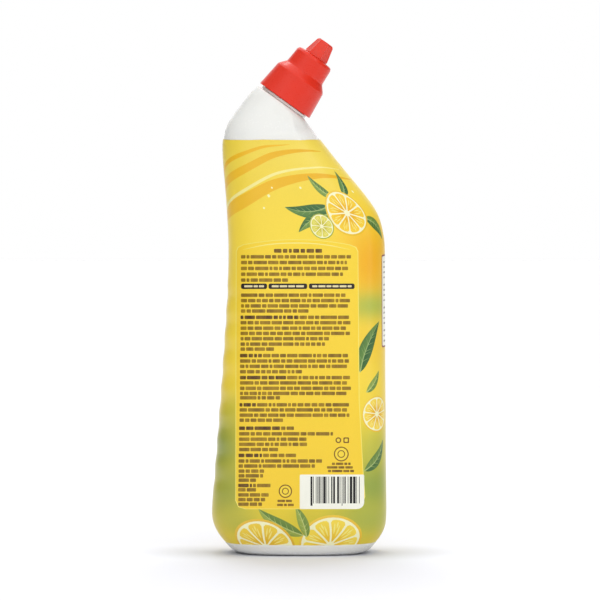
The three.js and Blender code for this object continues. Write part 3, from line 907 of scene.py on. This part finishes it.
    # striped panel
    lay(box_outline(299.8, 474.6, 364.2, 509, [1.2, 1.2, 7, 1.2], 6), (247, 244, 231))
    x, k = 310.5, 0
    while x < 360:
        w = float(rng.choice([0.65, 0.65, 1.3, 1.95, 2.6]))
        top = 476.6
        low = 503.4 if k % 14 else 505.8
        lay([(x, top), (x + w, top), (x + w, low), (x, low)], (44, 40, 34), step=40)
        x += w + float(rng.choice([0.7, 0.7, 1.35, 2.0]))
        k += 1


def draw_side():
    """A bordered panel that wraps the right-hand edge, in distance round and height."""
    u0 = float(front([(381.7, 292)])[0, 0])
    u1 = u0 + 26
    z0, z1 = 110.8, 160.2
    lay(box_outline(u0, z0, u1, z1, [1.6] * 4, 4), (134, 58, 44), "round", 6)
    lay(box_outline(u0 + 0.9, z0 + 0.9, u1 - 0.9, z1 - 0.9, [1.1] * 4, 4), (247, 243, 228), "round", 6)
    z = z1 - 4
    k = 0
    while z > z0 + 3:
        u = u0 + 3
        stop = u1 - 3 - (float(rng.uniform(0, 9)) if k % 4 == 3 else float(rng.uniform(0, 1.5)))
        while u < stop - 1.2:
            w = min(float(rng.choice([1.7, 2.4, 3.1, 4.0, 5.2])), stop - u)
            lay(bar(u, u + w, z, 1.0), (126, 120, 110), "round", 6)
            u += w + 0.8
        z -= 2.75 if k % 4 != 3 else 3.9
        k += 1


def draw_behind():
    side = ("behind", 299, 300)
    dark, light = (70, 106, 76), (110, 144, 84)
    leaf((272, 268), (226, 236), 24, -7, dark, light, side, 6)
    leaf((332, 262), (362, 220), 22, 7, (82, 118, 78), (128, 156, 84), side, 6)
    leaf((300, 250), (292, 200), 20, 5, (92, 126, 80), (142, 166, 88), side, 6)
    leaf((258, 322), (220, 338), 18, 5, (84, 118, 76), (126, 152, 84), side, 5)
    leaf((346, 316), (378, 334), 18, -5, dark, light, side, 5)
    slice_of(301, 296, 47, side, parts=10, turn=0.15)
    slice_of(351, 275, 22, side, parts=9, turn=0.4, rind=(150, 166, 66), flesh=(222, 214, 104), core=(196, 186, 70))
    slice_of(250, 350, 21, side, parts=9, turn=0.1)
    for x, y, r in ((238, 214, 2.2), (246, 226, 1.4), (350, 200, 2.0), (342, 190, 1.2), (262, 212, 1.2), (366, 258, 1.5), (268, 392, 1.8), (330, 352, 1.6)):
        lay(oval(x, y, r, n=14), (252, 244, 190), side)
    # rows of plain panels
    for k, x in enumerate((238, 284, 330)):
        lay(box_outline(x, 414, x + 40, 452, [4] * 4, 5), (250, 226, 116), side)
        lay(box_outline(x + 1.1, 415.1, x + 38.9, 450.9, [3.2] * 4, 5), (246, 212, 76), side)
        if k == 0:
            lay(oval(x + 20, 429, 9, n=30), (247, 240, 200), side)
            leaf((x + 16, 436), (x + 24, 421), 8, 1, (84, 118, 76), (126, 152, 84), side, 3)
        elif k == 1:
            slice_of(x + 20, 429, 9, side, parts=8)
        else:
            lay(oval(x + 20, 429, 9, n=30), (247, 240, 200), side)
            drop = [(x + 20, 421.5)] + [(x + 20 + 4.6 * math.sin(w), 430.6 - 4.6 * math.cos(w)) for w in np.linspace(0.75, 2 * math.pi - 0.75, 18)]
            lay(drop, shade((150, 176, 96), (92, 128, 78), (x + 18, 422), (x + 22, 436)), side)
        for y, w in ((443, 26), (446.8, 18)):
            lay(bar(x + 20 - w / 2, x + 20 + w / 2, y, 1.9), (146, 108, 34), side, 9)
    fruit(268, 520, 30, 17, math.pi - 0.1, side, low=(222, 174, 54), high=(244, 212, 88))
    leaf((296, 508), (326, 490), 13, -3, (84, 118, 76), (128, 156, 84), side)
    leaf((298, 514), (276, 490), 12, 3, (96, 130, 80), (146, 168, 88), side)
    fruit(330, 522, 27, 17, 0.18, side)


def sleeve_top(u):
    """How far the film's upper edge rises above its usual height."""
    return 0.10 * np.sin(u * 2 * np.pi / ROUND * 5 + 1.0) + 0.05 * np.sin(u * 2 * np.pi / ROUND * 11)


def film(u, z, inset):
    top = smooth(z, 196, SLEEVE_HIGH)
    foot = 1 - smooth(z, SLEEVE_LOW, SLEEVE_LOW + 8)
    theta = theta_of(u)
    zz = z - 0.12 * foot * np.sin(u * 2 * np.pi / ROUND * 4) * 0.5 + (sleeve_top(u) + 0.95) * top + 0.9 * foot
    return place(theta, s_at(theta, zz), inset)


def film_inset(u):
    """The film lies on itself along its seam."""
    over = smooth(u, ROUND + SEAM - 1.2, ROUND + SEAM)
    under = 1 - smooth(u, SEAM + OVERLAP, SEAM + OVERLAP + 1.2)
    return 0.13 - 0.11 * over + 0.07 * under


def make_sleeve():
    draw_ribbons()
    draw_front()
    draw_behind()
    draw_side()
    lo, hi = SEAM, ROUND + SEAM + OVERLAP
    us = np.linspace(lo, hi, 134)
    zs = np.linspace(SLEEVE_LOW, SLEEVE_HIGH, 125)
    grid = [(u, z) for z in zs for u in us]
    points = [Vector(p) for p in grid]
    edges = []
    for uz, _, _, _ in layers:
        uz[:, 0] = np.clip(uz[:, 0], lo + 0.05, hi - 0.05)
        uz[:, 1] = np.clip(uz[:, 1], SLEEVE_LOW, SLEEVE_HIGH)
        k = len(points)
        points.extend(Vector(p) for p in uz)
        edges.extend((k + i, k + (i + 1) % len(uz)) for i in range(len(uz)))
    n, m = len(us), len(zs)
    for i in range(n - 1):
        edges.append((i, i + 1))
        edges.append(((m - 1) * n + i, (m - 1) * n + i + 1))
    for i in range(m - 1):
        edges.append((i * n, (i + 1) * n))
        edges.append((i * n + n - 1, (i + 1) * n + n - 1))
    verts, _, tris = delaunay_2d_cdt(points, edges, [], 0, 1e-4, False)[:3]
    flat = np.array([(v.x, v.y) for v in verts])
    tris = np.array([t for t in tris if len(t) == 3])
    a, b, c = flat[tris[:, 0]], flat[tris[:, 1]], flat[tris[:, 2]]
    area = (b[:, 0] - a[:, 0]) * (c[:, 1] - a[:, 1]) - (b[:, 1] - a[:, 1]) * (c[:, 0] - a[:, 0])
    tris[area < 0] = tris[area < 0][:, ::-1]
    tris = tris[np.abs(area) > 1e-7]
    centre = flat[tris].mean(axis=1)

    # the topmost layer over each triangle
    top = np.full(len(tris), -1)
    for k, (uz, _, _, _) in enumerate(layers):
        x0, z0 = uz.min(axis=0)
        x1, z1 = uz.max(axis=0)
        near = np.where((centre[:, 0] > x0) & (centre[:, 0] < x1) & (centre[:, 1] > z0) & (centre[:, 1] < z1))[0]
        if not len(near):
            continue
        q = centre[near]
        inside = np.zeros(len(near), bool)
        for p0, p1 in zip(uz, np.roll(uz, -1, axis=0)):
            if p0[1] == p1[1]:
                continue
            hit = (p0[1] > q[:, 1]) != (p1[1] > q[:, 1])
            inside ^= hit & (q[:, 0] < (p1[0] - p0[0]) * (q[:, 1] - p0[1]) / (p1[1] - p0[1]) + p0[0])
        top[near[inside]] = k

    u, z = flat[:, 0], flat[:, 1]
    inset = film_inset(u)
    outer = film(u, z, inset)
    inner = film(u, z, inset + 0.15)
    e = 0.25
    du = film(u + e, z, film_inset(u + e)) - film(u - e, z, film_inset(u - e))
    dz = film(u, np.minimum(z + e, SLEEVE_HIGH), inset) - film(u, np.maximum(z - e, SLEEVE_LOW), inset)
    nor = np.cross(du, dz)
    nor /= np.linalg.norm(nor, axis=1, keepdims=True)

    px, py = to_picture(outer)
    bx, by = to_picture(outer * [1, -1, 1])
    bx = 2 * 299.08 - bx
    coords = {"front": (px, py), "behind": (bx, by)}
    base = ground(u, z)
    colour = np.empty((len(tris), 3, 3))
    plain = top < 0
    colour[plain] = base[tris[plain]]
    for k, (_, fn, source, shift) in enumerate(layers):
        sel = np.where(top == k)[0]
        if not len(sel):
            continue
        idx = tris[sel].ravel()
        if callable(source):
            x, y = source(u[idx] - shift, z[idx])
        elif source == "round":
            x, y = u[idx] - shift, z[idx]
        else:
            x, y = coords[source][0][idx], coords[source][1][idx]
        colour[sel] = np.asarray(fn(x, y)).reshape(-1, 3, 3)
    colour = np.clip((linear(np.clip(colour, 0, 255)) - INK_HAZE) / INK_LIGHT, 0.004, 0.9).reshape(-1, 3)

    n = len(flat)
    faces = [tuple(t) for t in tris.tolist()]
    faces += [(t[2] + n, t[1] + n, t[0] + n) for t in tris.tolist()]
    # rims
    count = {}
    for t in tris.tolist():
        for i in range(3):
            count[(t[i], t[(i + 1) % 3])] = True
    rim = [(i, j) for (i, j) in count if (j, i) not in count]
    faces += [(j, i, i + n, j + n) for i, j in rim]
    o = mesh("sleeve_film", np.vstack([outer, inner]), faces, np.vstack([nor, -nor]))
    me = o.data
    attr = me.color_attributes.new("print", "FLOAT_COLOR", "CORNER")
    white = np.tile([0.82, 0.82, 0.8], (len(tris) * 3, 1))
    edge = np.tile([0.85, 0.8, 0.6], (len(rim) * 4, 1))
    rgb = np.vstack([colour, white, edge])
    if len(rgb) != len(me.loops):
        raise RuntimeError(f"the film's faces changed: {len(rgb)} colours for {len(me.loops)} corners")
    attr.data.foreach_set("color", np.column_stack([rgb, np.ones(len(rgb))]).ravel().astype(np.float32))
    me.color_attributes.active_color = attr
    print("sleeve", len(tris), "triangles in the print,", len(layers), "layers,", len(faces), "faces")
    return o


# ---------------------------------------------------------------- closure, ring and tip cap
def make_closure():
    outside = [
        (13.62, 0.0, 0.1), (16.2, 0.0, 0.3), (14.62, 14.3, 0.7), (14.0, 15.35, 0.9), (12.3, 17.35, 2.0),
        (11.5, 18.3, 0.9), (11.25, 19.6, 1.2), (10.75, 26.7, 0.7), (10.1, 28.0, 0.8), (8.6, 28.45, 1.2),
        (3.85, 28.45, 0.5), (3.25, 29.3, 0.8), (2.85, 35.9, 0.5), (2.5, 36.4, 0.25), (1.6, 36.4, 0.2),
        (1.6, 27.4, 0.3), (4.0, 26.95, 0.8), (8.6, 26.6, 0.6), (9.3, 25.9, 0.6), (9.7, 19.6, 1.5),
        (10.3, 17.4, 1.5), (10.9, 14.0, 0.2), (13.2, 14.0, 0.25), (13.32, 12.5, 0.5),
    ]
    pts, nor = rounded(outside + [(13.35, 12.3), (13.35, 1.2)])
    pts, nor = pts[:-2], nor[:-2]
    wall = along((12.1, 1.1), 0.25)
    pts = np.vstack([pts, np.column_stack([np.full(len(wall), 13.35), wall]), [(13.36, 0.75), (13.45, 0.3)]])
    nor = np.vstack([nor, np.tile([-1.0, 0.0], (len(wall), 1)), [(-1.0, 0.0), (-0.94, -0.34)]])

    def shape(phi, r, a):
        if r < 13.3 or r > 13.4 or a > 12.3 or a < 0.8:
            return np.full(np.shape(phi), r)
        return r - 1.1 * thread_height(phi, a, 3.2 - LEAD / 2, 0.35, 1.25, 1.0, 0.42)

    return lathe("closure_shell", (pts, nor), 168, shape)


def make_ring():
    pts, nor = rounded([(11.3, 12.12), (12.78, 12.12, 0.12), (12.78, 13.68, 0.12), (9.92, 13.68, 0.12), (9.92, 12.12, 0.12), (11.2, 12.12)])
    return lathe("sealing_ring_foam", (pts, nor), 96)


TIP_LOW, TIP_TOP = 28.5, 38.24


def make_tip():
    outside = [
        (4.3, TIP_LOW, 0.1), (6.75, TIP_LOW, 0.2), (6.66, 29.3, 0.2), (4.76, 37.2, 0.8),
        (4.05, TIP_TOP - 0.12, 0.6), (2.6, TIP_TOP, 1.5), (0.6, TIP_TOP), (0.0, TIP_TOP),
    ]
    pts, nor = rounded(outside)
    # more rows along the ribs, so that their ends fade
    p2, n2 = [pts[0]], [nor[0]]
    for k in range(1, len(pts)):
        gap = np.hypot(*(pts[k] - pts[k - 1]))
        n = max(1, int(gap / 0.3)) if pts[k][1] > 28.9 and pts[k][0] > 3 else 1
        for j in range(1, n + 1):
            f = j / n
            p2.append(pts[k - 1] * (1 - f) + pts[k] * f)
            v = nor[k - 1] * (1 - f) + nor[k] * f
            n2.append(v / np.hypot(*v))
    socket, sn = rounded([(0.0, 36.75), (0.5, 36.75), (2.8, 36.75, 0.3), (3.2, 36.3, 0.3), (3.65, 29.7, 0.4), (4.28, 29.05, 0.3), (4.3, TIP_LOW)])
    order = list(range(len(socket)))
    pts = np.vstack([np.array(p2)[::1]])
    nor = np.array(n2)
    pts = np.vstack([socket[order], pts[1:]])
    nor = np.vstack([sn[order], nor[1:]])
    flats = np.radians([22.0, 82.0, 142.0])

    def shape(phi, r, a):
        base = np.full(np.shape(phi), float(r))
        if a < 28.9 or r < 3.3 or a > TIP_TOP + 0.1:
            return base
        outer = np.interp(a, [28.9, 37.2, 38.2], [6.73, 4.76, 4.05])
        if r < outer - 0.9:
            return base
        fade = float(smooth(a, 28.95, 29.3) * (1 - smooth(a, 37.5, 38.25)))
        near = sum(np.abs(np.cos(phi - f)) ** 26 for f in flats) ** (-1 / 26)  # 1 on a flat, 1.124 on a ridge
        edge = np.abs(np.mod(np.degrees(phi) - 22.0, 60.0) - 30.0)  # from the nearest ridge, which has a small bead
        return base - outer * fade * 0.86 * (1.124 - near) + 0.2 * fade * np.exp(-((edge / 4.5) ** 2))

    return lathe("tip_shell", (pts, nor), 288, shape, loop=False)


# ---------------------------------------------------------------- materials
def nodes_of(name):
    m = bpy.data.materials.new(name)
    m.use_nodes = True
    nt = m.node_tree
    nt.nodes.clear()
    out = nt.nodes.new("ShaderNodeOutputMaterial")
    b = nt.nodes.new("ShaderNodeBsdfPrincipled")
    nt.links.new(b.outputs["BSDF"], out.inputs["Surface"])
    coord = nt.nodes.new("ShaderNodeTexCoord")
    return m, nt, b, coord


def noise(nt, coord, scale, detail=3.0, rough=0.55, stretch=None):
    n = nt.nodes.new("ShaderNodeTexNoise")
    n.inputs["Scale"].default_value = scale
    n.inputs["Detail"].default_value = detail
    n.inputs["Roughness"].default_value = rough
    src = coord.outputs["Object"]
    if stretch:
        mp = nt.nodes.new("ShaderNodeMapping")
        mp.inputs["Scale"].default_value = stretch
        nt.links.new(src, mp.inputs["Vector"])
        src = mp.outputs["Vector"]
    nt.links.new(src, n.inputs["Vector"])
    return n.outputs["Fac"]


def ranged(nt, value, lo, hi):
    r = nt.nodes.new("ShaderNodeMapRange")
    r.inputs["From Min"].default_value = 0.3
    r.inputs["From Max"].default_value = 0.7
    r.inputs["To Min"].default_value = lo
    r.inputs["To Max"].default_value = hi
    nt.links.new(value, r.inputs["Value"])
    return r.outputs["Result"]


def between(nt, value, a, b):
    """A colour between a and b by a noise value."""
    r = nt.nodes.new("ShaderNodeValToRGB")
    r.color_ramp.elements[0].position = 0.3
    r.color_ramp.elements[0].color = (*a, 1)
    r.color_ramp.elements[1].position = 0.7
    r.color_ramp.elements[1].color = (*b, 1)
    nt.links.new(value, r.inputs["Fac"])
    return r.outputs["Color"]


def bumps(nt, b, parts):
    """parts: (height, distance in metres, strength)"""
    last = None
    for height, distance, strength in parts:
        n = nt.nodes.new("ShaderNodeBump")
        n.inputs["Distance"].default_value = distance
        n.inputs["Strength"].default_value = strength
        nt.links.new(height, n.inputs["Height"])
        if last is not None:
            nt.links.new(last, n.inputs["Normal"])
        last = n.outputs["Normal"]
    nt.links.new(last, b.inputs["Normal"])


def plastic(name, colour, rough, grain, bump, spread=0.03, specular=0.5, sss=0.0, radius=(1, 1, 1), coat=0.0):
    m, nt, b, coord = nodes_of(name)
    c = np.array(colour)
    big = noise(nt, coord, 45.0, 2.0)
    fine = noise(nt, coord, grain, 4.0, 0.6)
    nt.links.new(between(nt, big, tuple(c * (1 - spread)), tuple(np.minimum(c * (1 + spread), 1))), b.inputs["Base Color"])
    nt.links.new(ranged(nt, fine, rough - 0.04, rough + 0.04), b.inputs["Roughness"])
    b.inputs["Specular IOR Level"].default_value = specular
    b.inputs["IOR"].default_value = 1.49
    if sss:
        b.inputs["Subsurface Weight"].default_value = sss
        b.inputs["Subsurface Radius"].default_value = radius
        b.inputs["Subsurface Scale"].default_value = 0.002
    if coat:
        b.inputs["Coat Weight"].default_value = coat
        b.inputs["Coat Roughness"].default_value = 0.12
    bumps(nt, b, [(big, 0.0006, bump * 0.5), (fine, 0.00006, bump)])
    return m


def film_material():
    m, nt, b, coord = nodes_of("printed_film")
    a = nt.nodes.new("ShaderNodeVertexColor")
    a.layer_name = "print"
    wide = noise(nt, coord, 30.0, 2.0)
    fine = noise(nt, coord, 2600.0, 2.0, 0.6)
    mixer = nt.nodes.new("ShaderNodeMix")
    mixer.data_type = "RGBA"
    mixer.blend_type = "MULTIPLY"
    mixer.inputs["Factor"].default_value = 1.0
    nt.links.new(a.outputs["Color"], mixer.inputs["A"])
    nt.links.new(between(nt, fine, (0.955, 0.955, 0.95), (1.0, 1.0, 1.0)), mixer.inputs["B"])
    nt.links.new(mixer.outputs["Result"], b.inputs["Base Color"])
    nt.links.new(ranged(nt, wide, 0.3, 0.38), b.inputs["Roughness"])
    b.inputs["Specular IOR Level"].default_value = 0.45
    b.inputs["IOR"].default_value = 1.5
    ripple = noise(nt, coord, 26.0, 2.5, 0.5, (1.0, 1.0, 0.35))
    bumps(nt, b, [(ripple, 0.0011, 0.22), (fine, 0.00002, 0.25)])
    return m


def gel_material():
    m, nt, b, coord = nodes_of("gel_fill")
    wide = noise(nt, coord, 24.0, 2.0)
    nt.links.new(between(nt, wide, (0.66, 0.74, 0.34), (0.72, 0.79, 0.4)), b.inputs["Base Color"])
    nt.links.new(ranged(nt, wide, 0.05, 0.1), b.inputs["Roughness"])
    b.inputs["Transmission Weight"].default_value = 0.7
    b.inputs["IOR"].default_value = 1.36
    bumps(nt, b, [(wide, 0.0008, 0.2)])
    return m


def floor_material():
    m, nt, b, coord = nodes_of("pale_floor_painted_shadow")
    wide = noise(nt, coord, 3.0, 2.0)
    reach = nt.nodes.new("ShaderNodeVectorMath")
    reach.operation = "LENGTH"
    nt.links.new(coord.outputs["Object"], reach.inputs[0])
    away = nt.nodes.new("ShaderNodeMapRange")
    away.interpolation_type = "SMOOTHSTEP"
    away.inputs["From Min"].default_value, away.inputs["From Max"].default_value = 0.08, 0.32
    nt.links.new(reach.outputs["Value"], away.inputs["Value"])
    # painted shade: the floor's colour is a little darker and bluer close to the bottle. This is a painted shadow that
    # also takes the yellow out of the light bounced off the bottle. Further out the floor is plain pale.
    painted_near_shade = nt.nodes.new("ShaderNodeMix")
    painted_near_shade.data_type = "RGBA"
    nt.links.new(away.outputs["Result"], painted_near_shade.inputs["Factor"])
    nt.links.new(between(nt, wide, (0.795, 0.805, 0.862), (0.803, 0.813, 0.87)), painted_near_shade.inputs["A"])
    nt.links.new(between(nt, wide, (0.81, 0.812, 0.816), (0.816, 0.818, 0.822)), painted_near_shade.inputs["B"])
    # painted shadow: the floor's colour is also darker to the left and right of the base
    last = coord.outputs["Object"]
    for operation, value in (("ABSOLUTE", None), ("SUBTRACT", (0.05, 0.0, 0.0)), ("MULTIPLY", (1 / 0.048, 1 / 0.042, 0.0)), ("LENGTH", None)):
        step = nt.nodes.new("ShaderNodeVectorMath")
        step.operation = operation
        nt.links.new(last, step.inputs[0])
        if value:
            step.inputs[1].default_value = value
        last = step.outputs["Value" if operation == "LENGTH" else "Vector"]
    near = nt.nodes.new("ShaderNodeMapRange")
    near.interpolation_type = "SMOOTHSTEP"
    near.inputs["From Min"].default_value, near.inputs["From Max"].default_value = 1.0, 0.0
    nt.links.new(last, near.inputs["Value"])
    painted_side_shadow = nt.nodes.new("ShaderNodeMix")
    painted_side_shadow.data_type = "RGBA"
    nt.links.new(near.outputs["Result"], painted_side_shadow.inputs["Factor"])
    nt.links.new(painted_near_shade.outputs["Result"], painted_side_shadow.inputs["A"])
    painted_side_shadow.inputs["B"].default_value = (0.62, 0.628, 0.66, 1)
    nt.links.new(painted_side_shadow.outputs["Result"], b.inputs["Base Color"])
    nt.links.new(ranged(nt, wide, 0.75, 0.85), b.inputs["Roughness"])
    b.inputs["Specular IOR Level"].default_value = 0.2
    return m


# ---------------------------------------------------------------- the model
WHITE = (0.82, 0.82, 0.785)
RED = (0.725, 0.027, 0.009)
TIP_RED = (0.735, 0.035, 0.014)

bottle = make_bottle()
bottle.data.materials.append(plastic("bottle_plastic", WHITE, 0.25, 900.0, 0.03, 0.012, 0.5, 0.12, (1.0, 0.9, 0.75)))
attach(bottle, "bottle")
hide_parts("bottle")

sleeve = make_sleeve()
sleeve.data.materials.append(film_material())
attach(sleeve, "bottle")
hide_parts("shrink_sleeve")

ring = make_ring()
ring.data.materials.append(plastic("ring_foam", (0.8, 0.78, 0.72), 0.75, 3000.0, 0.6, 0.03, 0.3))
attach(ring, "sealing_ring")
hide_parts("neck_gasket")

closure = make_closure()
closure.data.materials.append(plastic("closure_plastic", RED, 0.3, 1500.0, 0.12, 0.015, 0.35, 0.04, (1.0, 0.2, 0.15)))
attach(closure, "closure")
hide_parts("nozzle_closure")

tip = make_tip()
tip.data.materials.append(plastic("tip_plastic", TIP_RED, 0.16, 1500.0, 0.05, 0.015, 0.36, 0.04, (1.0, 0.2, 0.15)))
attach(tip, "tip")
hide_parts("tip_cap")

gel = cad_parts["cleaner_gel"]
gel.data.materials.clear()
gel.data.materials.append(gel_material())

# ---------------------------------------------------------------- floor, light and camera
bpy.ops.mesh.primitive_grid_add(x_subdivisions=24, y_subdivisions=24, size=8, location=(0, 0, -0.0001))
floor = bpy.context.active_object
floor.name = "floor"
floor.data.materials.append(floor_material())


def softbox(name, place_m, aim, width, height, power, colour=(1, 1, 1), spread=180):
    light = bpy.data.lights.new(name, "AREA")
    light.shape = "RECTANGLE"
    light.size, light.size_y = width, height
    light.energy = power
    light.color = colour
    light.spread = math.radians(spread)
    o = bpy.data.objects.new(name, light)
    o.location = place_m
    o.rotation_euler = (Vector(aim) - Vector(place_m)).to_track_quat("-Z", "Y").to_euler()
    o.visible_camera = False
    bpy.context.scene.collection.objects.link(o)
    return o


softbox("strip_right", (0.92, -0.41, 0.22), (0, 0, 0.13), 0.09, 0.5, 0.5)
softbox("strip_upper", (0.55, -0.62, 0.78), (0, 0, 0.23), 0.08, 0.3, 0.42)
softbox("top", (-0.1, 0.62, 1.02), (0, 0, 0.26), 0.2, 0.2, 0.62)

dome = bpy.data.lights.new("overhead", "SUN")
dome.energy = 0.62
dome.angle = math.radians(100)
overhead = bpy.data.objects.new("overhead", dome)
overhead.rotation_euler = Vector((-0.25, -0.3, 0.9)).to_track_quat("Z", "Y").to_euler()
bpy.context.scene.collection.objects.link(overhead)

rear = bpy.data.lights.new("rear_softbox", "SUN")
rear.energy = 1.1
rear.angle = math.radians(60)
rear_light = bpy.data.objects.new("rear_softbox", rear)
rear_light.rotation_euler = Vector((0.04, 0.6, 0.75)).to_track_quat("Z", "Y").to_euler()
rear_light.visible_glossy = False
bpy.context.scene.collection.objects.link(rear_light)

# A white room with dark cards beside the bottle, which is what gives its edges their tone
world = bpy.data.worlds.new("studio")
bpy.context.scene.world = world
world.use_nodes = True
wt = world.node_tree
wt.nodes.clear()
wo = wt.nodes.new("ShaderNodeOutputWorld")
seen = wt.nodes.new("ShaderNodeBackground")
seen.inputs["Color"].default_value = (1, 1, 1, 1)
seen.inputs["Strength"].default_value = 1.0
lit = wt.nodes.new("ShaderNodeBackground")
lit.inputs["Strength"].default_value = 1.0
where = wt.nodes.new("ShaderNodeTexCoord")


def card(direction, near, far):
    """1 towards a direction, falling to 0; near and far are cosines of the angle from it."""
    dot = wt.nodes.new("ShaderNodeVectorMath")
    dot.operation = "DOT_PRODUCT"
    v = Vector(direction).normalized()
    dot.inputs[1].default_value = v
    wt.links.new(where.outputs["Generated"], dot.inputs[0])
    r = wt.nodes.new("ShaderNodeMapRange")
    r.interpolation_type = "SMOOTHSTEP"
    r.inputs["From Min"].default_value = far
    r.inputs["From Max"].default_value = near
    wt.links.new(dot.outputs["Value"], r.inputs["Value"])
    return r.outputs["Result"]


def darker(value, mask, level):
    m = wt.nodes.new("ShaderNodeMix")
    m.data_type = "FLOAT"
    wt.links.new(mask, m.inputs["Factor"])
    if isinstance(value, float):
        m.inputs["A"].default_value = value
    else:
        wt.links.new(value, m.inputs["A"])
    m.inputs["B"].default_value = level
    return m.outputs["Result"]


level = darker(1.105, card((-1.0, 0.12, 0.03), 0.82, 0.34), 0.06)
level = darker(level, card((0.97, 0.2, 0.04), 0.87, 0.38), 0.15)
wt.links.new(level, lit.inputs["Color"])
path = wt.nodes.new("ShaderNodeLightPath")
pick = wt.nodes.new("ShaderNodeMixShader")
wt.links.new(path.outputs["Is Camera Ray"], pick.inputs["Fac"])
wt.links.new(lit.outputs["Background"], pick.inputs[1])
wt.links.new(seen.outputs["Background"], pick.inputs[2])
wt.links.new(pick.outputs["Shader"], wo.inputs["Surface"])

camera = bpy.data.objects.new("camera", bpy.data.cameras.new("camera"))
camera.location = (EYE_X * MM, -EYE * TILT_COS * MM, (EYE_Z + EYE * TILT_SIN) * MM)
camera.rotation_euler = (math.acos(TILT_SIN), 0, 0)
camera.data.sensor_width = 36
camera.data.lens = 36 * EYE / (600 * PX)
camera.data.clip_start, camera.data.clip_end = 0.05, 50
bpy.context.scene.collection.objects.link(camera)
bpy.context.scene.camera = camera

bpy.context.scene.view_settings.view_transform = "Standard"
bpy.context.scene.view_settings.look = "None"
